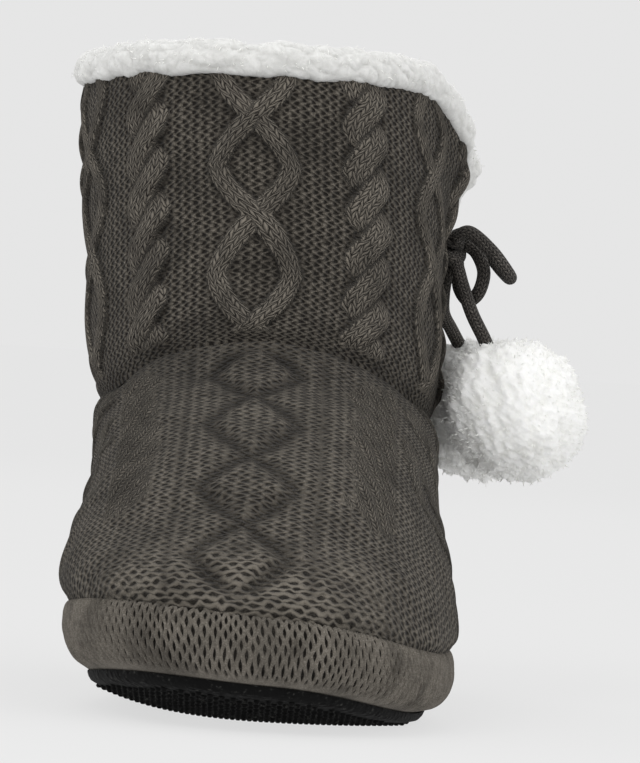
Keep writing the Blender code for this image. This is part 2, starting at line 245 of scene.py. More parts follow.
# Grip dots, in staggered rows that stop just short of the edge
ring_shares = np.arange(DOT_SIDES) * 2 * np.pi / DOT_SIDES
circle = np.stack((np.cos(ring_shares), np.sin(ring_shares)), axis=-1)
edge_turns = np.linspace(0, 2 * np.pi, 2 * DOTS_EDGE_STEPS + 1)
edge = level_points(inset_outline(bottom_inset + DOT_MARGIN, 0), edge_turns)[:, :2]
edge_outer, edge_inner = edge[: DOTS_EDGE_STEPS + 1], edge[: DOTS_EDGE_STEPS - 1 : -1]
count = sum(map(len, points))
for row, y in enumerate(np.arange(-DOTS_REACH_Y, DOTS_REACH_Y, DOT_PITCH * math.sin(math.pi / 3))):
    right = np.interp(-y, -edge_outer[:, 1], edge_outer[:, 0])
    left = np.interp(-y, -edge_inner[:, 1], edge_inner[:, 0])
    for x in np.arange(-DOTS_REACH_X + (row % 2) * DOT_PITCH / 2, DOTS_REACH_X, DOT_PITCH):
        if not left < x < right:
            continue
        base = bottom_height + float(floor_lift(x, y))
        rings = []
        for share, drop in DOT_RINGS:
            flat = circle * DOT_RADIUS * share + (x, y)
            rings.append(np.column_stack((flat, np.full(DOT_SIDES, base - DOT_HEIGHT * drop))))
        points.append(np.concatenate(rings))
        for ring in range(len(DOT_RINGS) - 1):
            for step in range(DOT_SIDES):
                following = (step + 1) % DOT_SIDES
                low, high = count + ring * DOT_SIDES, count + (ring + 1) * DOT_SIDES
                faces.append([low + step, high + step, high + following, low + following])
        count += len(DOT_RINGS) * DOT_SIDES
        faces.append(list(range(count - DOT_SIDES, count)))
outsole = new_piece("outsole_dotted", np.concatenate(points), faces, rubber)
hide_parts("outsole")

# Platform
# A foam wedge under the whole foot, wrapped in a strip of chunky knit that is sewn to the upper along
# its top edge and curls under to the rubber. It is stretched, so tall holes open between its stitches.

PLATFORM_BASE = 3.5
PLATFORM_PROFILE = (
    (8.5, 0.0), (4.0, 0.9), (1.3, 3.4), (0.1, 6.8), (0.1, 9.8),
    (0.5, 12.8), (1.6, 15.0), (4.0, 16.2), (8.0, 16.4),
)
RAND_STITCH_WIDE, RAND_STITCH_TALL, RAND_STITCH_STEPS, RAND_ROWS = 2.8, 4.8, 8, 44
RAND_RELIEF, RAND_PLAIN, RAND_SINK = 1.1, 0.7, 0.6
RAND_WANDER, RAND_WANDER_SIZE = 0.16, 14.0
SEWN_BELOW, SEWN_ABOVE, SEWN_EASE_BELOW, SEWN_EASE_ABOVE = 2.0, 3.0, 4.0, 3.0
SEWN_SHARE, SEWN_VARIES, SEWN_SIZE = 0.88, 0.14, 18.0
STRAND_SWAY, STRAND_HALF = 0.2, 0.42
LUMP_WAVES, LUMP_PITCHES, LUMP_CALM = 9, (0.7, 1.5), 4
RAND_YARN, RAND_FLECK = (0.128, 0.114, 0.096, 1), (0.23, 0.21, 0.18, 1)
SHADOW = (0.010, 0.0085, 0.007, 1)


def read_rows(rows, share):
    """A table read as one smooth run, its first row at 0 and its last at 1; the columns come first."""
    table = np.array(rows, float)
    reading = np.asarray(share, float) * (len(table) - 1)
    row = np.minimum(reading.astype(int), len(table) - 2)
    step = (reading - row)[..., None]
    before, start = table[np.maximum(row - 1, 0)], table[row]
    end, after = table[row + 1], table[np.minimum(row + 2, len(table) - 1)]
    cubic = -before + 3 * start - 3 * end + after
    square = 2 * before - 5 * start + 4 * end - after
    return np.moveaxis(start + (cubic * step ** 3 + square * step ** 2 + (end - before) * step) / 2, -1, 0)


def arc(points, axis):
    """Distance run along one axis of a grid of points."""
    steps = np.linalg.norm(np.diff(points, axis=axis), axis=-1)
    start = np.zeros_like(np.take(steps, [0], axis=axis))
    return np.concatenate((start, np.cumsum(steps, axis=axis)), axis=axis)


def unit(ways):
    """Directions brought to a length of 1."""
    return ways / np.maximum(np.linalg.norm(ways, axis=-1, keepdims=True), 1e-9)


def out_of(points, wrap):
    """Directions straight out of a grid that runs round the shoe; a wrapped grid ends as it starts."""
    rise = np.gradient(points, axis=0)
    if wrap:
        ring = points[:, :-1]
        around = np.roll(ring, -1, axis=1) - np.roll(ring, 1, axis=1)
        around = np.concatenate((around, around[:, :1]), axis=1)
    else:
        around = np.gradient(points, axis=1)
    return unit(np.cross(rise, around))


def corner_map(across, up):
    """A grid's map values laid out per face corner, in the order of grid_faces."""
    both = np.stack((across, up), axis=-1)
    return np.stack((both[:-1, :-1], both[1:, :-1], both[1:, 1:], both[:-1, 1:]), axis=2)


def curls(points, size, seed):
    """Soft lumps from -1 to 1 over points in millimetres, about one size wide."""
    draw = np.random.default_rng(seed)
    total = np.zeros(points.shape[:-1])
    for _ in range(LUMP_WAVES):
        direction = draw.normal(size=3)
        direction *= draw.uniform(*LUMP_PITCHES) * 2 * np.pi / size / np.linalg.norm(direction)
        total += np.sin(points @ direction + draw.uniform(0, 2 * np.pi))
    return total / LUMP_CALM


def strand_height(across, up):
    """Height of an open knit: pairs of wavy strands that touch and part by turns, with holes between them."""
    strand = np.floor(2 * across)
    sway = STRAND_SWAY * np.cos(2 * np.pi * up) * (1 - 2 * (strand % 2))
    off = (2 * across - strand - 0.5 - sway) / STRAND_HALF
    return np.sqrt(np.maximum(0, 1 - off ** 2))


def new_group(name, inputs, outputs):
    group = bpy.data.node_groups.new(name, "ShaderNodeTree")
    for label, kind in inputs.items():
        group.interface.new_socket(label, in_out="INPUT", socket_type="NodeSocket" + kind)
    for label, kind in outputs.items():
        group.interface.new_socket(label, in_out="OUTPUT", socket_type="NodeSocket" + kind)
    return group, group.nodes.new("NodeGroupInput").outputs, group.nodes.new("NodeGroupOutput").inputs


def round_top(tree, off):
    """Height of a round strand, from the share that a place is off its middle."""
    square = calc(tree, "POWER", calc(tree, "ABSOLUTE", off), 2.0)
    return calc(tree, "SQRT", calc(tree, "MAXIMUM", calc(tree, "SUBTRACT", 1.0, square), 0.0))


# The same open knit as a shader; the map is in stitches
# Each stitch pattern gives its relief as Height and its gaps as Hollow, which the wool paints dark as their
# shade
STITCH_FORM = {"Height": "Float", "Hollow": "Float"}
open_group, given, made = new_group("open_knit", {"Stitch map": "Vector"}, STITCH_FORM)
tree = open_group
parts = add_node(tree, "ShaderNodeSeparateXYZ", {0: given["Stitch map"]}).outputs
across = calc(tree, "MULTIPLY", parts["X"], 2.0)
turned = calc(tree, "MULTIPLY_ADD", calc(tree, "FLOORED_MODULO", calc(tree, "FLOOR", across), 2.0), -2.0, 1.0)
sway = calc(tree, "COSINE", calc(tree, "MULTIPLY", parts["Y"], 2 * math.pi))
sway = calc(tree, "MULTIPLY", calc(tree, "MULTIPLY", sway, turned), STRAND_SWAY)
off = calc(tree, "SUBTRACT", calc(tree, "SUBTRACT", calc(tree, "FRACT", across), 0.5), sway)
height = round_top(tree, calc(tree, "DIVIDE", off, STRAND_HALF))
tree.links.new(height, made["Height"])
tree.links.new(ease(tree, height, 0.6, 0.1), made["Hollow"])

# Heathered wool: fine lighter and darker fibres, slow darker clouds at random, and painted shade in the
# stitches' hollows
wool_group, given, made = new_group(
    "heathered_wool",
    {"Place": "Vector", "Yarn": "Color", "Fleck": "Color", "Shadow": "Color", "Hollow": "Float"},
    {"Colour": "Color", "Fibre": "Float"},
)
tree = wool_group
fibre = noise(tree, given["Place"], scale=2600.0, detail=3.0)[0]
fleck = noise(tree, given["Place"], scale=900.0, detail=2.0)[0]
blotch = noise(tree, given["Place"], scale=240.0, detail=2.0)[0]
cloud = noise(tree, given["Place"], scale=70.0, detail=3.0)[0]
wool = tint(tree, ease(tree, fibre, 0.45, 0.72), given["Yarn"], given["Fleck"])
wool = tint(tree, calc(tree, "MULTIPLY", ease(tree, fleck, 0.5, 0.75), 0.5), wool, given["Fleck"])
wool = tint(tree, calc(tree, "MULTIPLY", ease(tree, cloud, 0.4, 0.7), 0.35), wool, given["Shadow"])
wool = tint(tree, calc(tree, "MULTIPLY", ease(tree, blotch, 0.45, 0.7), 0.3), wool, given["Shadow"])
# The hollows, broken up by the fibres, are painted dark as their shade
hollow_shade = calc(tree, "MULTIPLY_ADD", calc(tree, "SUBTRACT", fibre, 0.5), 1.1, given["Hollow"])
hollow_shade = calc(tree, "MULTIPLY_ADD", calc(tree, "SUBTRACT", fleck, 0.5), 0.7, hollow_shade)
wool = tint(tree, ease(tree, hollow_shade, 0.1, 0.95), wool, given["Shadow"])
tree.links.new(wool, made["Colour"])
tree.links.new(fibre, made["Fibre"])


def use_group(tree, group, inputs):
    return add_node(tree, "ShaderNodeGroup", inputs, node_tree=group).outputs


def wool_look(tree, yarn, fleck, shadow, hollow):
    """The heathered wool's outputs in one material."""
    inputs = {"Place": object_place(tree), "Yarn": yarn, "Fleck": fleck, "Shadow": shadow, "Hollow": hollow}
    return use_group(tree, wool_group, inputs)


def map_of(tree, name):
    return add_node(tree, "ShaderNodeUVMap", uv_map=name).outputs[0]


def mask_of(tree, name):
    return add_node(tree, "ShaderNodeAttribute", attribute_name=name).outputs["Fac"]


rand_wool, nodes, surface = new_material("rand_wool", roughness=0.95, specular=0.05, sheen=0.05)
# The holes in the stretched band are painted dark, as the shade inside them
hollow = use_group(nodes, open_group, {"Stitch map": map_of(nodes, "stitches")})["Hollow"]
hollow = calc(nodes, "MULTIPLY", hollow, mask_of(nodes, "sewn"))
wool = wool_look(nodes, RAND_YARN, RAND_FLECK, SHADOW, hollow)
finish_surface(nodes, surface, wool["Colour"], wool["Fibre"], distance=0.0004, strength=0.8)

_, outline_length = even_turns(8)
stitch_count = round(outline_length / RAND_STITCH_WIDE)
turns, _ = even_turns(stitch_count * RAND_STITCH_STEPS)
insets, heights = read_rows(PLATFORM_PROFILE, np.linspace(0, 1, RAND_ROWS))
rings = [outline_ring(inset, PLATFORM_BASE + height, turns) for inset, height in zip(insets, heights)]
rings = np.stack(rings)
profile_run = arc(np.column_stack((insets, heights, 0 * heights)), 0)
across = np.arange(len(turns)) / RAND_STITCH_STEPS + RAND_WANDER * curls(rings, RAND_WANDER_SIZE, seed=1)
up = (profile_run / RAND_STITCH_TALL)[:, None] + RAND_WANDER * curls(rings, RAND_WANDER_SIZE, seed=2)
sewn = smooth((profile_run - SEWN_BELOW) / SEWN_EASE_BELOW)
sewn = sewn * smooth((profile_run[-1] - SEWN_ABOVE - profile_run) / SEWN_EASE_ABOVE)
sewn = sewn[:, None] * (SEWN_SHARE + SEWN_VARIES * curls(rings, SEWN_SIZE, seed=4))
raised = mix(RAND_PLAIN, strand_height(across, up), sewn) - RAND_SINK
rings = rings + out_of(rings, True) * (RAND_RELIEF * raised)[..., None]
rand = new_piece(
    "rand_knit",
    rings[:, :-1],
    grid_faces(RAND_ROWS, len(turns) - 1, wrap=True),
    rand_wool,
    {"stitches": corner_map(across, up)},
    {"sewn": sewn[:, :-1]},
)
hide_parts("platform")

# Insole
# A loose-cut fleece footbed on a thin foam, lying on the platform inside the upper. Its pile is short
# white curls, trodden a little flatter than the collar.

INSOLE_BASE = 19.0
INSOLE_PROFILE = ((9.0, 0.0), (9.0, 3.5), (9.6, 4.5), (11.0, 5.0))
INSOLE_COLUMNS, INSOLE_ROWS, INSOLE_ACROSS = 260, 150, 56
CURL_HEIGHT, CURL_SIZE = 0.5, 5.0
# White pile, and the grey painted between its curls as their shade
PILE, PILE_SHADE = (0.93, 0.93, 0.90, 1), (0.80, 0.80, 0.77, 1)

# White fleece: pale wool with grey painted between the curls as their shade
fleece_group, given, made = new_group(
    "fleece_pile",
    {"Place": "Vector", "Pile": "Color", "Depth": "Color", "Curl scale": "Float"},
    {"Colour": "Color", "Height": "Float"},
)
tree = fleece_group
curl = noise(tree, given["Place"], given["Curl scale"], detail=3.0, distortion=1.2)[0]
strand_scale = calc(tree, "MULTIPLY", given["Curl scale"], 5.0)
strand = noise(tree, given["Place"], strand_scale, detail=2.0, distortion=2.0)[0]
height = calc(tree, "MULTIPLY_ADD", strand, 0.4, curl)
tree.links.new(height, made["Height"])
tree.links.new(tint(tree, ease(tree, height, 0.5, 0.95), given["Depth"], given["Pile"]), made["Colour"])


def fleece_material(name, pile, curl_shade, curl_scale, distance, glow):
    """Fleece that light passes a little way into; glow is how far, in metres."""
    material, nodes, surface = new_material(name, roughness=1.0, specular=0.1, sheen=0.1)
    surface.inputs["Subsurface Weight"].default_value = 0.9
    surface.inputs["Subsurface Radius"].default_value = (1, 1, 1)
    surface.inputs["Subsurface Scale"].default_value = glow
    inputs = {"Place": object_place(nodes), "Pile": pile, "Depth": curl_shade, "Curl scale": curl_scale}
    fleece = use_group(nodes, fleece_group, inputs)
    finish_surface(nodes, surface, fleece["Colour"], fleece["Height"], distance, strength=0.7)
    return material


insole_fleece = fleece_material(
    "insole_fleece", PILE, PILE_SHADE, curl_scale=260.0, distance=0.0012, glow=0.003
)
turns, _ = even_turns(INSOLE_COLUMNS)
side = np.stack([outline_ring(inset, INSOLE_BASE + height, turns[:-1]) for inset, height in INSOLE_PROFILE])
top_inset, top_height = INSOLE_PROFILE[-1]
top = cross_rows(top_inset, INSOLE_BASE + top_height, INSOLE_ROWS, INSOLE_ACROSS)
inside = np.sin(np.pi * np.linspace(0, 1, INSOLE_ACROSS)) ** 0.5
top[..., 2] += CURL_HEIGHT * curls(top, CURL_SIZE, seed=3) * inside
points = np.concatenate((side.reshape(-1, 3), top.reshape(-1, 3)))
top_faces = grid_faces(*top.shape[:2], start=side.size // 3)[:, ::-1]
faces = np.concatenate((grid_faces(*side.shape[:2], wrap=True), top_faces))
insole = new_piece("insole_fleece_bed", points, faces, insole_fleece)
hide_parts("insole")

# Upper
# The knit foot of the shoe, cut from the same cable fabric as the shaft and stretched over the toe, so
# its diamonds lie flat and its stitches open up. It is sewn down to the rand and up to the ankle seam.

UPPER_LEVELS = (
    (17.6, 17.6, -127.4, 127.4, 39.6, 50.0, 5.0, 5.0, 0.17, 0.65, 2.30, 1.00),
    (21.6, 22.0, -128.6, 128.8, 42.0, 52.9, 5.0, 5.0, 0.17, 0.65, 2.30, 1.00),
    (30.0, 31.0, -124.5, 129.5, 43.5, 53.0, 4.5, 5.0, 0.18, 0.64, 2.35, 0.80),
    (41.0, 40.0, -115, 129.5, 44.5, 51.5, 4.0, 4.5, 0.20, 0.62, 2.40, 0.50),
    (53.5, 48.5, -98, 129.0, 45.5, 49.5, 3.0, 3.5, 0.25, 0.60, 2.40, 0.22),
    (66.0, 57.0, -79, 128.5, 46.5, 48.0, 1.5, 2.0, 0.32, 0.57, 2.30, 0.06),
    (78.0, 65.0, -52, 128.0, 48.0, 48.5, 0.5, 1.0, 0.40, 0.54, 2.15, 0.00),
    (88.0, 71.5, -24, 127.5, 49.0, 49.0, 0.0, 0.3, 0.46, 0.51, 2.05, 0.00),
    (95.8, 75.0, 3.5, 126.0, 47.6, 47.6, 0.0, 0.0, 0.50, 0.50, 2.00, 0.00),
)
UPPER_ROWS, UPPER_COLUMNS = 156, 600
WALE, COURSE = 2.94, 1.14
REPEAT = 69.4
DIAMOND_TALL, DIAMOND_REACH, DIAMOND_CORNER = 32.0, 10.6, 0.35
BAND_HALF, BAND_WALE, BAND_COURSE = 3.1, 2.1, 1.9
BAND_FLOOR, BAND_OVER, BAND_UNDER = 0.2, 1.0, 0.84
CABLE_TALL, CABLE_REACH, CABLE_STRAND, CABLE_RISE, CABLE_WALE = 12.5, 3.5, 5.3, 1.75, 2.65
GROUND_YARN, PAINTED_LIGHT_YARN = (0.065, 0.0575, 0.047, 1), (0.098, 0.087, 0.0715, 1)
PAINTED_HIGHLIGHT_YARN, PAINTED_HIGHLIGHT_SHARE = (0.24, 0.215, 0.18, 1), 0.38
UPPER_CABLE_YARN, FLECK = (0.106, 0.095, 0.078, 1), (0.19, 0.17, 0.143, 1)
PURL_TILT, KNIT_SLANT, UNEVEN = 0.3, 1.2, 0.7
LEG_FULLNESS, LEG_ROUND, LEG_DROP = 0.84, 2.5, 0.9


def cable_chart(across, up, crossed):
    """The fabric's relief: diamonds of raised bands, and ropes of two strands halfway between them.

    across and up are in millimetres on the unstretched fabric, 0 across at the middle of a diamond, and
    crossed counts the diamonds' crossings from the ankle up. Gives the height in shares, how far a place
    is raised knit, and the map of its stitches.
    """
    middle = across - np.round(across / REPEAT) * REPEAT
    swing = np.sin(np.pi * crossed)
    corner = 1 - np.abs(2 * (crossed - np.floor(crossed)) - 1)
    line = DIAMOND_REACH * mix(np.abs(swing), corner, DIAMOND_CORNER) * np.sign(swing)
    steep = DIAMOND_REACH * np.pi / DIAMOND_TALL * np.cos(np.pi * crossed)
    height = np.zeros_like(across)
    raised = np.zeros_like(across)
    stitch_across = across / WALE
    stitch_up = up / BAND_COURSE
    for sign, over in ((1, BAND_OVER), (-1, BAND_UNDER)):
        off = (middle - sign * line) / np.sqrt(1 + steep ** 2)
        band = BAND_FLOOR + (1 - BAND_FLOOR) * np.sqrt(np.maximum(0, 1 - (off / BAND_HALF) ** 2))
        band = over * band * (np.abs(off) < BAND_HALF)
        on_top = band > height
        height = np.where(on_top, band, height)
        raised = np.where(on_top, 1, raised)
        stitch_across = np.where(on_top, off / BAND_WALE, stitch_across)
    rope = across - (np.round(across / REPEAT - 0.5) + 0.5) * REPEAT
    twist = np.pi * up / CABLE_TALL
    for phase in (0, np.pi):
        off = rope - CABLE_REACH * np.sin(twist + phase)
        strand = CABLE_REACH * np.cos(twist + phase) + np.sqrt(np.maximum(0, CABLE_STRAND ** 2 - off ** 2))
        strand = np.where(np.abs(off) < CABLE_STRAND, CABLE_RISE * strand / (CABLE_REACH + CABLE_STRAND), 0)
        on_top = strand > height
        height = np.where(on_top, strand, height)
        raised = np.where(on_top, 1, raised)
        stitch_across = np.where(on_top, off / CABLE_WALE, stitch_across)
    return height, raised, stitch_across, stitch_up


# Purl ground: staggered rows of short slanting bumps, each with a small hole painted dark as its shade; the
# map is in stitches
purl_group, given, made = new_group("purl_ground", {"Stitch map": "Vector"}, STITCH_FORM)
tree = purl_group
parts = add_node(tree, "ShaderNodeSeparateXYZ", {0: given["Stitch map"]}).outputs
zigzag = calc(tree, "MULTIPLY_ADD", calc(tree, "PINGPONG", parts["Y"], 1.0), PURL_TILT, parts["X"])
across = calc(tree, "COSINE", calc(tree, "MULTIPLY", zigzag, 2 * math.pi))
hole = calc(tree, "MULTIPLY", across, calc(tree, "COSINE", calc(tree, "MULTIPLY", parts["Y"], math.pi)))
tree.links.new(calc(tree, "MULTIPLY_ADD", hole, -0.5, 0.5), made["Height"])
tree.links.new(ease(tree, hole, -0.55, 0.75), made["Hollow"])

# Knit stitch seen from its right side, as V legs; the map is in stitches
knit_group, given, made = new_group("knit_stitch", {"Stitch map": "Vector", "Slant": "Float"}, STITCH_FORM)
tree = knit_group
parts = add_node(tree, "ShaderNodeSeparateXYZ", {0: given["Stitch map"]}).outputs
across = calc(tree, "MULTIPLY", calc(tree, "PINGPONG", parts["X"], 0.5), 2.0)
leg = calc(tree, "FRACT", calc(tree, "MULTIPLY_ADD", across, given["Slant"], parts["Y"]))
round_leg = round_top(tree, calc(tree, "MULTIPLY_ADD", leg, 2.0 / LEG_FULLNESS, -1.0 / LEG_FULLNESS))
off_side = calc(tree, "ABSOLUTE", calc(tree, "MULTIPLY_ADD", across, 2.0, -1.0))
off_side = calc(tree, "POWER", off_side, LEG_ROUND)
height = calc(tree, "MULTIPLY", round_leg, calc(tree, "MULTIPLY_ADD", off_side, -LEG_DROP, 1.0))
tree.links.new(height, made["Height"])
tree.links.new(ease(tree, height, 0.8, 0.0), made["Hollow"])


def vector_calc(tree, operation, inputs):
    return add_node(tree, "ShaderNodeVectorMath", inputs, operation=operation).outputs[0]


# No two stitches are quite alike: a slow wander, which each material adds to its stitch maps
uneven_group, given, made = new_group(
    "uneven_stitches", {"Place": "Vector", "Amount": "Float"}, {"Wander": "Color"}
)
tree = uneven_group
wander = noise(tree, given["Place"], scale=330.0, detail=1.0)["Color"]
wander = vector_calc(tree, "SUBTRACT", {0: wander, 1: (0.5, 0.5, 0.5)})
wander = vector_calc(tree, "SCALE", {0: wander, "Scale": given["Amount"]})
tree.links.new(wander, made["Wander"])


def blend(tree, share, first, second):
    """A value between two others."""
    return add_node(tree, "ShaderNodeMix", {0: share, 2: first, 3: second}).outputs[0]


def cable_knit(name, raised_yarn, stitch_depth, hole_shade):
    """Wool that is purl on the ground and knit where the fabric is raised, with painted light, shade and
    highlight.
    """
    material, nodes, surface = new_material(name, roughness=0.95, specular=0.05, sheen=0.05)
    wander = use_group(nodes, uneven_group, {"Place": object_place(nodes), "Amount": UNEVEN})["Wander"]
    ground_map, strand_map, loose_map = (
        vector_calc(nodes, "ADD", {0: map_of(nodes, label), 1: wander})
        for label in ("ground", "strand", "loose")
    )
    # Painted shade in the fabric's recesses, as given per point by the piece
    recess_shade = mask_of(nodes, "painted_shade")
    opened = mask_of(nodes, "opened")
    purl = use_group(nodes, purl_group, {"Stitch map": ground_map})
    knit = use_group(nodes, knit_group, {"Stitch map": strand_map, "Slant": KNIT_SLANT})
    loose = use_group(nodes, open_group, {"Stitch map": loose_map})
    share = ease(nodes, mask_of(nodes, "raised"), 0.3, 0.7)
    height = blend(nodes, opened, purl["Height"], loose["Height"])
    height = blend(nodes, share, height, knit["Height"])
    hollow = blend(nodes, opened, purl["Hollow"], loose["Hollow"])
    hollow = blend(nodes, share, hollow, calc(nodes, "MULTIPLY", knit["Hollow"], 0.95))
    # Stitch gaps and recesses both darken the wool: painted shade
    hollow = calc(nodes, "MAXIMUM", calc(nodes, "MULTIPLY", hollow, hole_shade), recess_shade)
    # Painted light: the ground paler where the piece's pale mask says, on the upper's top where it faces the
    # light
    yarn = tint(nodes, share, tint(nodes, mask_of(nodes, "pale"), GROUND_YARN, PAINTED_LIGHT_YARN), raised_yarn)
    # Painted highlight: a lighter colour on the tops of the stitches, held off where painted shade lies
    painted_highlight = calc(nodes, "MULTIPLY", ease(nodes, height, 0.7, 1.0), ease(nodes, recess_shade, 0.6, 0.0))
    yarn = tint(nodes, calc(nodes, "MULTIPLY", painted_highlight, PAINTED_HIGHLIGHT_SHARE), yarn, PAINTED_HIGHLIGHT_YARN)
    wool = wool_look(nodes, yarn, FLECK, SHADOW, hollow)
    rough = calc(nodes, "MULTIPLY_ADD", wool["Fibre"], 0.25, height)
    finish_surface(nodes, surface, wool["Colour"], rough, stitch_depth, strength=0.9)
    return material


VAMP_CROSSINGS = (0, 35, 78, 113, 145, 170)
VAMP_DIAMOND_REACH, VAMP_DIAMOND_POINT, VAMP_SHIFT = 13.0, 0.8, 2.8
VAMP_FROM, VAMP_EASE_IN, VAMP_TO, VAMP_EASE_OUT, VAMP_HALF = 1.0, 9.0, 138.0, 14.0, 24.0
TROUGH_HALF, CUSHION_MARGIN, CUSHION_EASE = 3.9, 1.0, 5.0
LADDER_AT, LADDER_HALF = 19.5, 1.8
TOE_FROM, TOE_EASE, TOE_HALF = 116.0, 22.0, 42.0
STRETCH_ACROSS, STRETCH_ACROSS_TOE, STRETCH_ROUND_HEEL = 1.25, 0.1, 1.15
STRETCH_DOWN, STRETCH_DOWN_TOE = 1.2, 0.5
SHAFT_CROSSING_UP, CHART_SHIFT = 6.2, 4.7
REAR_FROM = -0.15
RIB_PITCH, RIB_WALE, RIB_SLANT_IN, RIB_SLANT_OUT = 5.0, 2.5, 0.75, 0.4
RIBS_FROM, RIBS_EASE, RIBS_RAGGED, RIBS_RAGGED_SIZE = 20.0, 20.0, 3.0, 9.0
RIBS_TO, SIDE_FROM, SIDE_EASE = 46.0, 50.0, 8.0
RIBS_TOE_FROM, RIBS_TOE_EASE, RIBS_ANKLE_EASE = 92.0, 26.0, 18.0
SIDE_FRONT_Y, SIDE_FRONT_EASE, SIDE_TOP_EASE, CHARTED_FROM = -70.0, 40.0, 9.0, 0.3
CUSHION_RISE, TROUGH_DROP, LADDER_DROP, RIB_RISE, SIDE_RISE = 1.0, 0.9, 0.35, 0.4, 0.7
SLACK = ((24.0, 0.5, 9), (12.0, 0.3, 10))
PINCH_REACH, PINCH_DROP, PINCH_SHADE, PINCH_FROM_Y, PINCH_EASE = 2.2, 0.4, 0.45, 14.0, 26.0
SEAM_FADE_FROM, SEAM_FADE = 0.05, 0.08
TROUGH_SHADE, LADDER_SHADE, RIB_SHADE = 0.68, 0.42, 0.3
ANKLE_SHADE, ANKLE_SHADE_REACH, RAND_SHADE, RAND_SHADE_REACH = 0.3, 12.0, 0.7, 0.035
SHADE_REACH, SHADE_GAIN, SIDE_SHADE_MOST, SHADE_MOST = 4, 1.2, 0.6, 0.85
PALE_EASE, PALE_SHARE = 50.0, 0.75
ROW_EVEN, FRONT_STEPS = 0.75, 801
FILLET, FILLET_REACH, FILLET_TO_Y, FILLET_EASE = 8.0, 26.0, 40.0, 45.0
FILLET_LEAN = (0.0, -0.78, 0.62)
STITCH_DEPTH = 0.0012


def blurred(values, reach):
    """A grid's values averaged over a square of neighbours."""
    for axis in (0, 1):
        edges = [(reach + 1, reach) if axis == here else (0, 0) for here in (0, 1)]
        total = np.cumsum(np.pad(values, edges, mode="edge"), axis=axis)
        count = total.shape[axis]
        ahead = np.take(total, range(2 * reach + 1, count), axis=axis)
        behind = np.take(total, range(count - 2 * reach - 1), axis=axis)
        values = (ahead - behind) / (2 * reach + 1)
    return values


def ankle_fillet(points, from_seam):
    """The stretched fabric rounds off the corner over the instep."""
    ahead = smooth((FILLET_TO_Y - points[..., 1]) / FILLET_EASE)
    fullness = FILLET * np.maximum(0, 1 - from_seam / FILLET_REACH) ** 2 * ahead
    return fullness[..., None] * np.array(FILLET_LEAN)


turns = np.linspace(0, 2 * np.pi, UPPER_COLUMNS + 1)
fine = np.linspace(0, 1, FRONT_STEPS)
front_run = arc(leaned(level_points(read_rows(UPPER_LEVELS, fine), np.full_like(fine, np.pi))), 0)
spread = ROW_EVEN * front_run / front_run[-1] + (1 - ROW_EVEN) * fine
shares = np.interp(np.linspace(0, 1, UPPER_ROWS), spread, fine)
levels = read_rows(UPPER_LEVELS, shares[:, None] * np.ones_like(turns))
foot = leaned(level_points(levels, turns[None, :]))
from_front = arc(foot, 1)
from_front = from_front[:, -1:] / 2 - from_front
to_ankle = arc(foot[::-1], 0)[::-1]

# Over the toe the fabric is pulled wide, and its stitches open up
front = from_front + VAMP_SHIFT
on_toe = smooth((to_ankle - TOE_FROM) / TOE_EASE) * np.exp(-(from_front / TOE_HALF) ** 4)
side_steps = np.diff(from_front, axis=1) / (STRETCH_ACROSS + STRETCH_ACROSS_TOE * on_toe[:, 1:])
across = np.concatenate((np.zeros((UPPER_ROWS, 1)), np.cumsum(side_steps, axis=1)), axis=1)
across = across - across[:, UPPER_COLUMNS // 2, None]
down_steps = -np.diff(to_ankle[::-1], axis=0) / (STRETCH_DOWN + STRETCH_DOWN_TOE * on_toe[-2::-1])
up = np.concatenate((np.zeros((1, UPPER_COLUMNS + 1)), np.cumsum(down_steps, axis=0)))[::-1]

# On the vamp the diamonds are a soft lattice of troughs between low cushions
lattice = np.interp(to_ankle, VAMP_CROSSINGS, range(-1, len(VAMP_CROSSINGS) - 1))
line = VAMP_DIAMOND_REACH * (1 - np.abs(2 * (lattice - np.floor(lattice)) - 1)) ** VAMP_DIAMOND_POINT
trough = np.exp(-((np.abs(front) - line) / TROUGH_HALF) ** 2)
cushion = smooth((line - np.abs(front) - CUSHION_MARGIN) / CUSHION_EASE)
on_vamp = smooth((to_ankle - VAMP_FROM) / VAMP_EASE_IN) * (1 - smooth((to_ankle - VAMP_TO) / VAMP_EASE_OUT))
ladder = np.exp(-((np.abs(front) - LADDER_AT) / LADDER_HALF) ** 2) * on_vamp
on_vamp = on_vamp * np.exp(-(front / VAMP_HALF) ** 4)

# Outside those the ropes are drawn slantwise round the foot into fine ribs
slant = np.where(front < 0, RIB_SLANT_IN, RIB_SLANT_OUT)
rib_across = (np.abs(front) - slant * to_ankle) / np.hypot(1, slant)
rib_up = -(to_ankle + slant * np.abs(front)) / np.hypot(1, slant)
ribs = np.cos(2 * np.pi * rib_across / RIB_PITCH)
above_toe = 1 - smooth((to_ankle - RIBS_TOE_FROM) / RIBS_TOE_EASE)
ragged = RIBS_RAGGED * curls(foot, RIBS_RAGGED_SIZE, seed=8)
on_ribs = smooth((np.abs(front) - RIBS_FROM + ragged) / RIBS_EASE) * above_toe
on_ribs = on_ribs * smooth(to_ankle / RIBS_ANKLE_EASE) * (1 - smooth((np.abs(front) - RIBS_TO) / SIDE_EASE))

# Round the sides and heel the cables run on down from the shaft, pulled flatter
crossed = -(to_ankle + SHAFT_CROSSING_UP) / DIAMOND_TALL
from_heel = np.abs(from_front[:, :1]) - np.abs(from_front)
round_heel = np.sign(from_front) * (np.abs(from_front[-1, 0]) - from_heel)
side_height, side_raised, side_across, side_up = cable_chart(round_heel + CHART_SHIFT, -to_ankle, crossed)
on_side = smooth((np.abs(front) - SIDE_FROM) / SIDE_EASE)
on_side = on_side * smooth((foot[..., 1] - SIDE_FRONT_Y) / SIDE_FRONT_EASE)
side_raised = side_raised * on_side
charted = side_raised > CHARTED_FROM
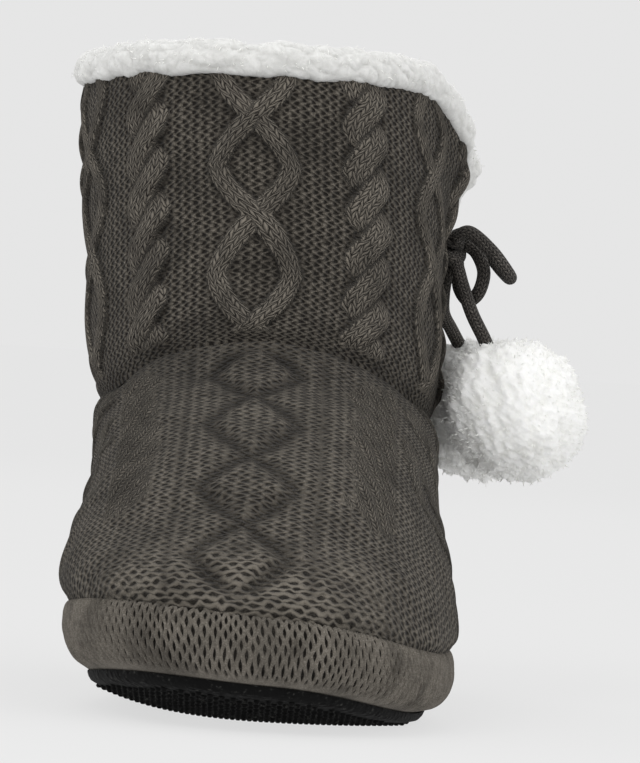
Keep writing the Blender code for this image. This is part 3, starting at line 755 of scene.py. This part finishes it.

# The relief itself, slack here and there, and painted shade: darker colour in the places that it leaves in
# shadow
seam_pinch = np.exp(-(to_ankle / PINCH_REACH) ** 2) * smooth((foot[..., 1] - PINCH_FROM_Y) / PINCH_EASE)
relief = (CUSHION_RISE * cushion - TROUGH_DROP * trough) * on_vamp - LADDER_DROP * ladder
relief = relief + RIB_RISE * ribs * on_ribs
relief = relief + SIDE_RISE * side_height * on_side * smooth(to_ankle / SIDE_TOP_EASE)
for size, rise, seed in SLACK:
    relief = relief + rise * curls(foot, size, seed)
relief = relief * smooth((shares[:, None] - SEAM_FADE_FROM) / SEAM_FADE)
# Painted shade in the troughs, ladders and rib hollows, at the ankle seam, beside the raised cables and just
# above the rand
painted_shade = TROUGH_SHADE * trough * on_vamp + LADDER_SHADE * ladder + RIB_SHADE * smooth(-ribs) * on_ribs
painted_shade = painted_shade + PINCH_SHADE * seam_pinch + ANKLE_SHADE * np.exp(-(to_ankle / ANKLE_SHADE_REACH) ** 2)
side_shade = SHADE_GAIN * (blurred(relief, SHADE_REACH) - relief)
painted_shade = painted_shade + np.clip(side_shade, 0, SIDE_SHADE_MOST) * on_side
painted_shade = painted_shade + RAND_SHADE * np.exp(-(shares[:, None] / RAND_SHADE_REACH) ** 2)
foot = foot + out_of(foot, True) * (relief - PINCH_DROP * seam_pinch)[..., None]
foot = foot + ankle_fillet(foot, to_ankle)

# Behind the ankle the ground's stitches are counted round the heel, and in front of it from the middle
at_rear = np.cos(turns[:-1]) > REAR_FROM
ground_map = np.where(
    at_rear[None, :, None, None],
    corner_map(round_heel / STRETCH_ROUND_HEEL / WALE, up / COURSE),
    corner_map(across / WALE, up / COURSE),
)
strand_map = corner_map(
    np.where(charted, side_across, rib_across / RIB_WALE),
    np.where(charted, side_up, rib_up / BAND_COURSE),
)
upper_wool = cable_knit("upper_wool", UPPER_CABLE_YARN, STITCH_DEPTH, hole_shade=0.8)
upper = new_piece(
    "upper_knit",
    foot[:, :-1],
    grid_faces(UPPER_ROWS, UPPER_COLUMNS, wrap=True),
    upper_wool,
    {"ground": ground_map, "strand": strand_map, "loose": corner_map(up / (2 * COURSE), across / WALE)},
    {
        "raised": np.maximum(on_ribs, side_raised)[:, :-1],
        "painted_shade": np.clip(painted_shade, 0, SHADE_MOST)[:, :-1],
        "opened": on_toe[:, :-1],
        # Painted light: the ground paler away from the ankle and over the toe, on the foot's top that faces
        # the light
        "pale": np.maximum(smooth(to_ankle / PALE_EASE) * PALE_SHARE, on_toe)[:, :-1],
    },
)
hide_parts("upper")

# Shaft
# A tube of cable knit, sewn to the upper round the ankle, with diamonds down its middle and sides and
# rope cables between them. It is slit on the outer side, where its corners fall open.

SHAFT_LEVELS = (
    (96.2, 75.4, 3.5, 126.0, 47.6, 47.6, 0, 0, 0.5, 0.5, 2.0, 0),
    (106.0, 88.0, 1.0, 128.0, 50.2, 50.2, 0, 0, 0.5, 0.5, 2.0, 0),
    (122.0, 110.0, 2.0, 127.5, 50.8, 50.8, 0, 0, 0.5, 0.5, 2.0, 0),
    (139.0, 132.5, 3.0, 127.5, 51.6, 51.6, 0, 0, 0.5, 0.5, 2.0, 0),
    (157.0, 154.5, 3.5, 128.0, 52.2, 52.2, 0, 0, 0.5, 0.5, 2.0, 0),
    (175.0, 175.0, 3.0, 128.5, 52.2, 52.2, 0, 0, 0.5, 0.5, 2.0, 0),
)
SHAFT_ROWS, SHAFT_COLUMNS = 150, 620
SHAFT_CENTRE_Y = 65.0
SLIT_TURN, SLIT_START, SLIT_HALF_TURN, SLIT_CURVE = 0.42 * math.pi, 0.55, 0.19, 0.7
FLARE_FRONT, FLARE_REAR, FLARE_REACH = 6.0, 7.0, 15.0
CORNER_DROP_FRONT, CORNER_DROP_REAR, CORNER_REACH = 17.0, 10.0, 58.0
COLLAR_GIRTH, COLLAR_DIP_IN = 356.0, 3.0
SHAFT_CROSSINGS = (-25.0, SHAFT_CROSSING_UP, 39.5, 67.0, 94.0)
SHAFT_TALL, SHAFT_RELIEF, CHART_LEAN = 79.0, 1.6, 0.0714
SHAFT_PINCH_FROM_Y, SHAFT_PINCH_EASE = 12.0, 30.0
SHAFT_SLACK, SHAFT_SLACK_SIZE = 0.4, 34.0
SHAFT_SHADE_MOST, FOOT_SHADE = 0.65, 0.35
SEAM_EASE, SEAM_IN, SEAM_TUCK = 9.0, 0.4, 1.0
KNIT_WALL, RIM_FADE, RIM_RELIEF, SLIT_EDGE_EASE, ROLL_STEPS = 3.0, 0.12, 0.3, 0.1, 5
SHAFT_CABLE_YARN = (0.183, 0.163, 0.135, 1)


def away_from_leg(points):
    out = np.array(points, float)
    out[..., 1] -= SHAFT_CENTRE_Y
    out[..., 2] = 0
    return unit(out)


def shaft_points(around, up):
    """Points on the shaft: around runs from the slit's front edge over the instep to its rear edge."""
    opened = np.maximum(0, (up - SLIT_START) / (1 - SLIT_START))
    half_gap = SLIT_HALF_TURN * opened ** SLIT_CURVE
    turn = SLIT_TURN + half_gap + (2 * np.pi - 2 * half_gap) * around
    points = level_points(read_rows(SHAFT_LEVELS, up), turn)
    outward = away_from_leg(points)
    to_front, to_rear = around * COLLAR_GIRTH, (1 - around) * COLLAR_GIRTH
    flare = FLARE_FRONT * np.exp(-(to_front / FLARE_REACH) ** 2)
    flare = flare + FLARE_REAR * np.exp(-(to_rear / FLARE_REACH) ** 2)
    points = points + outward * (flare * smooth(opened))[..., None]
    drop = CORNER_DROP_FRONT * np.maximum(0, 1 - to_front / CORNER_REACH) ** 3
    drop = drop + CORNER_DROP_REAR * np.maximum(0, 1 - to_rear / CORNER_REACH) ** 3
    points[..., 2] -= drop * opened + COLLAR_DIP_IN * up ** 3 * np.maximum(0, -outward[..., 0]) ** 2
    return leaned(points)


around, up_share = np.meshgrid(np.linspace(0, 1, SHAFT_COLUMNS + 1), np.linspace(0, 1, SHAFT_ROWS))
leg = shaft_points(around, up_share)
middle_run = arc(leg[SHAFT_ROWS // 2 : SHAFT_ROWS // 2 + 1], 1)[0]
front_column = int(round(SHAFT_COLUMNS * (np.pi - SLIT_TURN) / (2 * np.pi)))
across = np.broadcast_to(middle_run[front_column] - middle_run, leg.shape[:2])
up = arc(leg, 0)
up = up * (SHAFT_TALL / up[-1, front_column])
across = across + CHART_SHIFT - CHART_LEAN * up
crossed = np.interp(up, SHAFT_CROSSINGS, range(-1, len(SHAFT_CROSSINGS) - 1))
height, raised, stitch_across, stitch_up = cable_chart(across, up, crossed)
edge_fade = smooth(up / SEAM_EASE) * mix(RIM_RELIEF, 1, smooth((1 - up_share) / RIM_FADE))
seam_pinch = np.exp(-(up / PINCH_REACH) ** 2)
seam_pinch = seam_pinch * smooth((leg[..., 1] - SHAFT_PINCH_FROM_Y) / SHAFT_PINCH_EASE)
out = out_of(leg, False)
relief = SHAFT_RELIEF * height * edge_fade
# Painted shade beside the raised cables, in the seam's pinch and along the shaft's foot at the ankle seam
painted_shade = np.clip((blurred(relief, SHADE_REACH) - relief) * SHADE_GAIN, 0, SHAFT_SHADE_MOST)
painted_shade = np.clip(painted_shade + PINCH_SHADE * seam_pinch, 0, SHADE_MOST)
painted_shade = np.maximum(painted_shade, FOOT_SHADE * np.exp(-(up / SEAM_EASE) ** 2))
relief = relief + SHAFT_SLACK * curls(leg, SHAFT_SLACK_SIZE, seed=12) * edge_fade
leg = leg + out * (relief - PINCH_DROP * seam_pinch)[..., None]
leg = leg + ankle_fillet(leg, up)
leg[0] = leg[0] - SEAM_IN * out[0] - np.array((0, 0, SEAM_TUCK))

# The rim and the slit's edges roll in over the wall's thickness
angles = np.linspace(0, np.pi, ROLL_STEPS + 1)[1:, None, None]
radius = KNIT_WALL / 2


def rolled(edge, inward, off):
    """Rows that carry an edge on round a half circle into the shoe."""
    return edge + inward * radius * (1 - np.cos(angles)) + off * radius * np.sin(angles)


rim = rolled(leg[-1][None], -out[-1][None], unit(leg[-1] - leg[-2])[None])
shell = np.concatenate((leg, rim))
shell_out = np.concatenate((out, np.repeat(out[-1:], ROLL_STEPS, axis=0)))
opened = smooth((up_share[:, 0] - SLIT_START) / SLIT_EDGE_EASE)
opened = np.concatenate((opened, np.ones(ROLL_STEPS)))
sides = []
for edge, neighbour in ((0, 1), (-1, -2)):
    off = unit(shell[:, edge] - shell[:, neighbour]) * opened[:, None]
    sides.append(np.moveaxis(rolled(shell[None, :, edge], -shell_out[None, :, edge], off[None]), 0, 1))
shell = np.concatenate((sides[0][:, ::-1], shell, sides[1]), axis=1)


def run_on(values):
    """Carry a grid's values on over the rolled edges."""
    values = np.concatenate((values, np.repeat(values[-1:], ROLL_STEPS, axis=0)))
    return np.pad(values, ((0, 0), (ROLL_STEPS, ROLL_STEPS)), mode="edge")


shaft_wool = cable_knit("shaft_wool", SHAFT_CABLE_YARN, STITCH_DEPTH, hole_shade=0.85)
shaft = new_piece(
    "shaft_knit",
    shell,
    grid_faces(*shell.shape[:2]),
    shaft_wool,
    {
        "ground": corner_map(run_on(across / WALE), run_on(up / COURSE)),
        "strand": corner_map(run_on(stitch_across), run_on(stitch_up)),
    },
    {"raised": run_on(raised * smooth(up / SEAM_EASE)), "painted_shade": run_on(painted_shade)},
)
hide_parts("shaft")

# Lining
# White fleece sewn inside the whole shoe, pile inwards. It follows the knit a few millimetres in, down the
# leg and round the foot to the edge of the insole.

LINING_DEPTH, LINING_CURL, LINING_CURL_SIZE = 4.6, 0.9, 6.0
LEG_LINING_COLUMNS, LEG_LINING_ROWS, LEG_LINING_TOP = 180, 50, 0.97
LEG_LINING_HANGS = (10.0, 6.5, 3.0)
FOOT_LINING_COLUMNS, FOOT_LINING_ROWS, FOOT_LINING_FROM = 200, 50, 0.12
HEM_HEIGHT, HEM_INSETS = 17.0, (13.0, 9.0, 5.0)
lining_fleece = fleece_material(
    "lining_fleece", PILE, PILE_SHADE, curl_scale=240.0, distance=0.0014, glow=0.003
)


def lining_piece(name, points, wrap):
    """A fleece layer a little inside a grid of the shoe, facing in."""
    out = out_of(points, wrap)
    inner = points - out * LINING_DEPTH
    inner = inner + out * (LINING_CURL * curls(inner, LINING_CURL_SIZE, seed=11))[..., None]
    rows, columns = inner.shape[:2]
    if wrap:
        inner, columns = inner[:, :-1], columns - 1
    piece = new_piece(name, inner, grid_faces(rows, columns, wrap=wrap)[:, ::-1], lining_fleece)


around, up_share = np.meshgrid(
    np.linspace(0, 1, LEG_LINING_COLUMNS + 1), np.linspace(0, LEG_LINING_TOP, LEG_LINING_ROWS)
)
leg_inside = shaft_points(around, up_share)
hanging = [leg_inside[:1] - np.array((0, 0, drop)) for drop in LEG_LINING_HANGS]
lining_piece("lining_leg", np.concatenate(hanging + [leg_inside]), False)
share = np.linspace(FOOT_LINING_FROM, 1, FOOT_LINING_ROWS)
turns = np.linspace(0, 2 * np.pi, FOOT_LINING_COLUMNS + 1)
levels = read_rows(UPPER_LEVELS, share[:, None] * np.ones_like(turns))
foot_inside = leaned(level_points(levels, turns[None, :]))
hem = np.stack([outline_ring(inset, HEM_HEIGHT, turns) for inset in HEM_INSETS])
lining_piece("lining_foot", np.concatenate((hem, foot_inside)), True)

# Fleece collar
# The lining's edge turned up over the rim and down both sides of the slit: a soft lumpy roll of white
# fleece with its curly pile standing out, sewn behind the knit edge. At the slit's front corner a lock
# of it falls out over the edge.

COLLAR_STARTS = 0.66
COLLAR_PROFILE = (
    (-1.0, -1.4), (1.4, -0.4), (2.5, 1.8), (2.3, 5.0), (0.3, 7.6),
    (-3.2, 8.6), (-6.6, 7.0), (-8.2, 2.8), (-8.0, -2.0), (-6.4, -7.0), (-4.8, -9.0),
)
COLLAR_ROWS, COLLAR_STEPS, SLIT_STEPS, EDGE_STEPS = 60, 801, 50, 14
COLLAR_SWELL, COLLAR_SINK, COLLAR_CLUMP, COLLAR_SMALL_CLUMP, COLLAR_SMALL_RISE = 0.9, 0.8, 4.6, 2.2, 0.45
COLLAR_WAVE, COLLAR_WAVE_SIZE, COLLAR_FADE_FROM = 0.7, 15.0, 0.04
CLUMP_GAIN, CLUMP_ROUND = 1.5, 0.7
SLIT_ROOM, SLIT_ROLL, SLIT_LUMPS = 0.3, 0.25, 0.5
LOCK_AT, LOCK_REACH, LOCK_OUT, LOCK_OFF, LOCK_EASE = 7.0, 9.0, 4.5, 1.5, 4.0
# Collar pile, and the grey painted between its curls as their shade
COLLAR_PILE, COLLAR_SHADE = (0.68, 0.68, 0.665, 1), (0.58, 0.58, 0.565, 1)
COLLAR_WISPS, COLLAR_WISP_ROWS, COLLAR_WISP_ROOT, COLLAR_WISP_LEAN = 1200, (0.18, 0.9), 0.3, 0.5
COLLAR_WISP_LENGTH, COLLAR_WISP_WIDTH, COLLAR_WISP_BEND = (0.8, 1.7), (0.1, 0.2), 1.0
WISP_WHITE = (0.95, 0.95, 0.92, 1)
WISP_SIDES, WISP_STATIONS, WISP_TIP, WISP_CURL = 3, ((0.0, 1.0), (0.6, 0.8)), 0.85, (0.4, 1.0)


def clumps(points, size, seed):
    """Rounded clumps of pile from 0 to 1 with creases between them, about one size wide."""
    return np.minimum(1, CLUMP_GAIN * np.abs(curls(points, 2 * size, seed))) ** CLUMP_ROUND


wisp_wool, _, surface = new_material("wisp_wool", roughness=1.0, specular=0.0)
surface.inputs["Base Color"].default_value = WISP_WHITE


def wisps(name, roots, directions, lengths, widths, bend, seed):
    """A piece of loose wisps of pile, each three-sided, curled and pointed."""
    draw = np.random.default_rng(seed)
    count = len(roots)
    directions = unit(directions)
    side = unit(np.cross(directions, draw.normal(size=(count, 3))))
    other = np.cross(directions, side)
    curl = side * bend * draw.uniform(*WISP_CURL, (count, 1))
    stations = []
    for share, girth in WISP_STATIONS:
        spine = roots + lengths[:, None] * (directions * share + curl * share ** 2)
        for corner in range(WISP_SIDES):
            angle = corner * 2 * np.pi / WISP_SIDES
            out = side * math.cos(angle) + other * math.sin(angle)
            stations.append(spine + out * (widths * girth)[:, None])
    stations.append(roots + lengths[:, None] * (directions * WISP_TIP + curl))
    points = np.stack(stations, axis=1)
    pattern = []
    for corner in range(WISP_SIDES):
        following = (corner + 1) % WISP_SIDES
        pattern.append((corner, following, WISP_SIDES + following))
        pattern.append((corner, WISP_SIDES + following, WISP_SIDES + corner))
        pattern.append((WISP_SIDES + corner, WISP_SIDES + following, 2 * WISP_SIDES))
    faces = np.array(pattern)[None] + points.shape[1] * np.arange(count)[:, None, None]
    return new_piece(name, points, faces.reshape(-1, 3), wisp_wool)


slit_levels = np.linspace(COLLAR_STARTS, 1, SLIT_STEPS)
rim_steps = np.linspace(0, 1, COLLAR_STEPS)
around = np.concatenate((0 * slit_levels[:-1], rim_steps, 0 * slit_levels[:-1] + 1))
up_share = np.concatenate((slit_levels[:-1], 0 * rim_steps + 1, slit_levels[-2::-1]))
rim_line = shaft_points(around, up_share)
padded_line = np.pad(rim_line, ((EDGE_STEPS, EDGE_STEPS), (0, 0)), mode="edge")
ahead, behind = padded_line[2 * EDGE_STEPS :], padded_line[: -2 * EDGE_STEPS]
upright = rim_line.copy()
upright[:, 0] += LEAN * (upright[:, 2] - LEAN_FROM)
outward = away_from_leg(upright)
off_edge = unit(np.cross(ahead - behind, outward))
room = np.where((around > 0) & (around < 1), 1, smooth((up_share - SLIT_START) / SLIT_ROOM))
out_way, off_way = read_rows(COLLAR_PROFILE, np.linspace(0, 1, COLLAR_ROWS))
corner_run = arc(rim_line, 0)
corner_run = corner_run - corner_run[SLIT_STEPS - 1]
lock = LOCK_OUT * hump((corner_run + LOCK_AT) / LOCK_REACH)
lock = lock * smooth((off_way[:, None] - LOCK_OFF) / LOCK_EASE)
roll = rim_line[None] + outward[None] * (out_way[:, None] + lock)[..., None]
roll = roll + off_edge[None] * (off_way[:, None] * mix(SLIT_ROLL, 1, room))[..., None]
roll_out = out_of(roll, False)
inside_fade = np.sin(np.pi * np.linspace(COLLAR_FADE_FROM, 1, COLLAR_ROWS))[:, None] ** 0.5
lumps = clumps(roll, COLLAR_CLUMP, seed=21)
lumps = lumps + COLLAR_SMALL_RISE * clumps(roll, COLLAR_CLUMP / COLLAR_SMALL_CLUMP, seed=22) - COLLAR_SINK
lumps = lumps + COLLAR_WAVE * curls(roll, COLLAR_WAVE_SIZE, seed=23)
roll = roll + roll_out * (COLLAR_SWELL * lumps * inside_fade * mix(SLIT_LUMPS, 1, room))[..., None]
draw = np.random.default_rng(5)
spot = draw.uniform(size=(COLLAR_WISPS, 2))
row = (COLLAR_ROWS * mix(*COLLAR_WISP_ROWS, spot[:, 0])).astype(int)
column = (spot[:, 1] * (roll.shape[1] - 1)).astype(int)
lean_out = draw.normal(scale=COLLAR_WISP_LEAN, size=(COLLAR_WISPS, 3))
collar_wisps = wisps(
    "fleece_collar_wisps",
    roll[row, column] - COLLAR_WISP_ROOT * roll_out[row, column],
    roll_out[row, column] + lean_out,
    draw.uniform(*COLLAR_WISP_LENGTH, COLLAR_WISPS) * mix(SLIT_LUMPS, 1, room[column]),
    draw.uniform(*COLLAR_WISP_WIDTH, COLLAR_WISPS),
    COLLAR_WISP_BEND,
    seed=6,
)
collar_fleece = fleece_material(
    "collar_fleece", COLLAR_PILE, COLLAR_SHADE, curl_scale=300.0, distance=0.0003, glow=0.005
)
collar = new_piece("fleece_collar_roll", roll, grid_faces(*roll.shape[:2]), collar_fleece)
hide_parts("fleece_collar")

# Tie
# A dark tubular knitted cord, tied in a bow where the slit ends: a knot sewn to the shaft, two loops that
# fall forward and back, and two ends that hang down into the pompoms.

CORD_DIAMETER, KNOT_DIAMETER, CORD_SIDES, CORD_STEP, CORD_END = 4.0, 4.2, 20, 0.6, 0.5
ROUTE_STEPS, FIRST_SIDE = 40, (0.3, 1.0, 0.2)
CORD_WALES, CORD_COURSE, CORD_SLANT, CORD_UNEVEN = 7, 1.25, 0.8, 0.4
CORD_YARN, CORD_FLECK, CORD_SHADOW = (0.070, 0.062, 0.054, 1), (0.21, 0.19, 0.17, 1), (0.008, 0.007, 0.006, 1)
LOOP_UPPER = (
    (48.7, 79.5, 134.0), (52.5, 75.8, 136.0), (59.1, 74.3, 131.0), (64.3, 76.8, 125.0),
    (65.3, 82.8, 123.6), (63.3, 88.8, 125.6), (57.1, 92.3, 132.3), (51.3, 92.7, 135.6), (47.9, 90.1, 134.2),
)
LOOP_LOWER = (
    (51.6, 84.9, 132.6), (55.0, 83.9, 130.6), (57.6, 82.7, 125.0), (56.6, 83.9, 119.0),
    (53.8, 87.5, 116.4), (51.2, 91.2, 119.6), (50.4, 91.6, 124.4), (49.8, 89.2, 128.0),
)
END_FRONT = (
    (47.6, 82.8, 130.0), (49.6, 80.9, 126.2), (51.4, 77.5, 120.6), (54.6, 73.3, 112.4), (58.4, 70.3, 105.4),
    (61.0, 68.6, 99.8), (63.4, 67.2, 95.0),
)
END_REAR = (
    (46.6, 84.8, 129.4), (46.8, 85.2, 124.2), (46.4, 88.7, 118.0), (47.0, 95.6, 112.2), (50.0, 102.8, 107.4),
    (53.6, 105.8, 101.6), (56.2, 107.2, 97.0),
)
KNOT_WRAP = (
    (45.4, 80.9, 129.0), (48.6, 81.5, 127.8), (50.2, 84.9, 129.4), (48.8, 88.3, 131.6), (45.8, 87.7, 133.0),
    (45.2, 83.9, 134.0), (47.8, 81.7, 133.4), (49.8, 84.7, 132.0), (47.8, 87.9, 128.6), (45.2, 86.9, 127.6),
)

cord_wool, nodes, surface = new_material("cord_wool", roughness=0.95, specular=0.12, sheen=0.1)
wander = use_group(nodes, uneven_group, {"Place": object_place(nodes), "Amount": CORD_UNEVEN})["Wander"]
stitch_map = vector_calc(nodes, "ADD", {0: map_of(nodes, "stitches"), 1: wander})
stitch = use_group(nodes, knit_group, {"Stitch map": stitch_map, "Slant": CORD_SLANT})
# The gaps between the cord's stitches are painted dark as their shade
wool = wool_look(nodes, CORD_YARN, CORD_FLECK, CORD_SHADOW, stitch["Hollow"])
finish_surface(nodes, surface, wool["Colour"], stitch["Height"], distance=0.0005, strength=0.9)


def knitted_cord(name, route, diameter=CORD_DIAMETER):
    """A round cord through a route, the line that it follows and its length, in millimetres."""
    fine = np.stack(read_rows(route, np.linspace(0, 1, ROUTE_STEPS * len(route))), axis=-1)
    run = arc(fine, 0)
    stations = np.linspace(0, run[-1], int(run[-1] / CORD_STEP))
    line = np.stack([np.interp(stations, run, fine[:, axis]) for axis in range(3)], axis=-1)
    ahead = unit(np.gradient(line, axis=0))
    side = np.zeros_like(line)
    held = np.cross(ahead[0], FIRST_SIDE)
    for step, way in enumerate(ahead):
        held = unit(held - way * (held @ way))
        side[step] = held
    other = np.cross(ahead, side)
    sides = CORD_SIDES
    angle = np.linspace(0, 2 * np.pi, sides + 1)
    girth = np.full(len(line), diameter / 2)
    girth[[0, -1]] *= CORD_END
    out = side[:, None] * np.cos(angle)[None, :, None] + other[:, None] * np.sin(angle)[None, :, None]
    tube = line[:, None] + out * girth[:, None, None]
    across = np.broadcast_to(np.linspace(0, CORD_WALES, sides + 1), tube.shape[:2])
    along = np.broadcast_to((stations / CORD_COURSE)[:, None], tube.shape[:2])
    rows = len(line)
    faces = grid_faces(rows, sides, wrap=True)[:, ::-1].tolist()
    faces += [list(range(sides))[::-1], list(range((rows - 1) * sides, rows * sides))]
    corners = corner_map(across, along).reshape(-1, 4, 2)[:, ::-1].reshape(-1, 2)
    corners = np.concatenate((corners, np.zeros((2 * sides, 2))))
    piece = new_piece(name, tube[:, :-1], faces, cord_wool, {"stitches": corners})
    return piece, line, run[-1]


knot, _, _ = knitted_cord("tie_knot", KNOT_WRAP, diameter=KNOT_DIAMETER)
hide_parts("knot")


def declare_cord(node):
    """Hide the model's part that a cord piece stands in for."""
    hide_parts(node)


for name, route, node in (
    ("tie_loop_upper", LOOP_UPPER, "loop_upper"),
    ("tie_loop_lower", LOOP_LOWER, "loop_lower"),
):
    loop, line, length = knitted_cord(name, route)
    declare_cord(node)

# Pompoms
# Two balls of dense white pile on the ends of the tie. Their strands are cut to a ball and felt together
# in small curly locks, so the outline is ragged and the surface is full of soft hollows.

POMPOM_FRONT_AT, POMPOM_REAR_AT = (68.2, 64.0, 84.7), (61.0, 109.5, 85.2)
POMPOM_RADIUS, POMPOM_GRID = 20.8, 72
POMPOM_LUMPS = ((10.0, 0.62, 0), (4.25, 0.6, 1), (2.2, 0.42, 2), (40.0, 1.5, 4))
# Pompom pile, and the grey painted between its curls as their shade
POMPOM_PILE, POMPOM_SHADE = (0.96, 0.96, 0.93, 1), (0.91, 0.91, 0.88, 1)
POMPOM_WISPS, POMPOM_WISP_ROOT, POMPOM_WISP_STRAY, POMPOM_WISP_LEAN = 2400, 0.5, 0.03, 0.25
POMPOM_WISP_LENGTH, POMPOM_WISP_WIDTH, POMPOM_WISP_BEND = (0.9, 2.3), (0.12, 0.24), 0.5
pompom_pile = fleece_material(
    "pompom_pile", POMPOM_PILE, POMPOM_SHADE, curl_scale=420.0, distance=0.0005, glow=0.006
)


def sphere_spread(count):
    """Directions spread evenly over a ball."""
    step = np.arange(count) + 0.5
    height = 1 - 2 * step / count
    turn = step * math.pi * (3 - math.sqrt(5))
    flat = np.sqrt(1 - height ** 2)
    return np.stack((flat * np.cos(turn), flat * np.sin(turn), height), axis=-1)


def pompom(name, centre, seed, node):
    """A lumpy ball of pile and its loose wisps."""
    draw = np.random.default_rng(seed)
    core = bmesh.new()
    bmesh.ops.create_cube(core, size=2)
    bmesh.ops.subdivide_edges(core, edges=core.edges, cuts=POMPOM_GRID - 1, use_grid_fill=True)
    core.verts.index_update()
    ball = np.tan(np.array([vertex.co for vertex in core.verts]) * math.pi / 4)
    core_faces = [[vertex.index for vertex in face.verts] for face in core.faces]
    core.free()
    ball = unit(ball)
    stray = draw.normal(scale=POMPOM_WISP_STRAY, size=(POMPOM_WISPS, 3))
    ways = unit(sphere_spread(POMPOM_WISPS) + stray)
    grown = []
    for directions in (ball, ways):
        place = directions * POMPOM_RADIUS
        lumps = sum(rise * curls(place, size, seed + step) for size, rise, step in POMPOM_LUMPS)
        grown.append(directions * (POMPOM_RADIUS + lumps)[:, None])
    lean = draw.normal(scale=POMPOM_WISP_LEAN, size=(POMPOM_WISPS, 3))
    lengths = draw.uniform(*POMPOM_WISP_LENGTH, POMPOM_WISPS)
    widths = draw.uniform(*POMPOM_WISP_WIDTH, POMPOM_WISPS)
    ball = new_piece(name, grown[0] + centre, core_faces, pompom_pile)
    roots = grown[1] - POMPOM_WISP_ROOT * ways + centre
    loose = wisps(name + "_wisps", roots, ways + lean, lengths, widths, POMPOM_WISP_BEND, seed + 3)
    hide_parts(node)
    return [ball, loose]


pompom_front = pompom("pompom_front_pile", POMPOM_FRONT_AT, seed=31, node="pompom_front")
pompom_rear = pompom("pompom_rear_pile", POMPOM_REAR_AT, seed=47, node="pompom_rear")
for name, route, node, ball in (
    ("tie_end_front", END_FRONT, "end_front", pompom_front),
    ("tie_end_rear", END_REAR, "end_rear", pompom_rear),
):
    end, line, length = knitted_cord(name, route)
    declare_cord(node)

# Floor, light and camera
# A wide pale floor under soft light from the front and above, seen straight on from in front of the
# toe and a little below the collar, with the picture tipped slightly to the outer side.

FLOOR_RADIUS, FLOOR_SIDES = 30.0, 96
FLOOR_GREY, FLOOR_GLOW, ROOM_LIGHT, WHITE = (0.15, 0.15, 0.15, 1), 0.665, 0.79, (1, 1, 1, 1)
LIGHTS = (
    ("key_light", (-0.7, -1.6, 1.5), 1.2, 17.0),
    ("fill_light", (1.1, -1.5, 0.9), 1.4, 8.0),
    ("back_light", (0.3, 1.9, 1.4), 1.4, 3.0),
)
LIGHTS_AIM = (0, 0, 0.09)
CAMERA_AT, CAMERA_AIM, CAMERA_ROLL = (0.0, -1.535, 0.100), (0.018, 0.065, 0.090), math.radians(3.6)
CAMERA_LENS, CAMERA_SENSOR = 261.0, 36.0

paper, _, surface = new_material("pale_floor", roughness=1.0, specular=0.0)
surface.inputs["Base Color"].default_value = FLOOR_GREY
surface.inputs["Emission Color"].default_value = WHITE
surface.inputs["Emission Strength"].default_value = FLOOR_GLOW
angles = np.arange(FLOOR_SIDES) * 2 * np.pi / FLOOR_SIDES
ring = np.stack((np.cos(angles), np.sin(angles), 0 * angles), axis=1) * FLOOR_RADIUS
data = bpy.data.meshes.new("floor")
data.from_pydata(ring.tolist(), [], [list(range(FLOOR_SIDES))])
data.materials.append(paper)
floor = bpy.data.objects.new("floor", data)
bpy.context.scene.collection.objects.link(floor)

world = bpy.data.worlds.new("soft_room")
world.use_nodes = True
world.node_tree.nodes["Background"].inputs["Color"].default_value = WHITE
world.node_tree.nodes["Background"].inputs["Strength"].default_value = ROOM_LIGHT
bpy.context.scene.world = world

for name, place, size, power in LIGHTS:
    lamp = bpy.data.lights.new(name, "AREA")
    lamp.size = size
    lamp.energy = power
    light = bpy.data.objects.new(name, lamp)
    light.location = place
    light.rotation_euler = (Vector(LIGHTS_AIM) - light.location).to_track_quat("-Z", "Y").to_euler()
    bpy.context.scene.collection.objects.link(light)

lens = bpy.data.cameras.new("front_camera")
lens.lens = CAMERA_LENS
lens.sensor_width = CAMERA_SENSOR
camera = bpy.data.objects.new("front_camera", lens)
camera.location = CAMERA_AT
camera.rotation_mode = "QUATERNION"
aim = (Vector(CAMERA_AIM) - Vector(CAMERA_AT)).to_track_quat("-Z", "Y").to_matrix()
camera.rotation_quaternion = (aim @ Matrix.Rotation(CAMERA_ROLL, 3, "Z")).to_quaternion()
bpy.context.scene.collection.objects.link(camera)
bpy.context.scene.camera = camera
bpy.context.scene.view_settings.view_transform = "Standard"
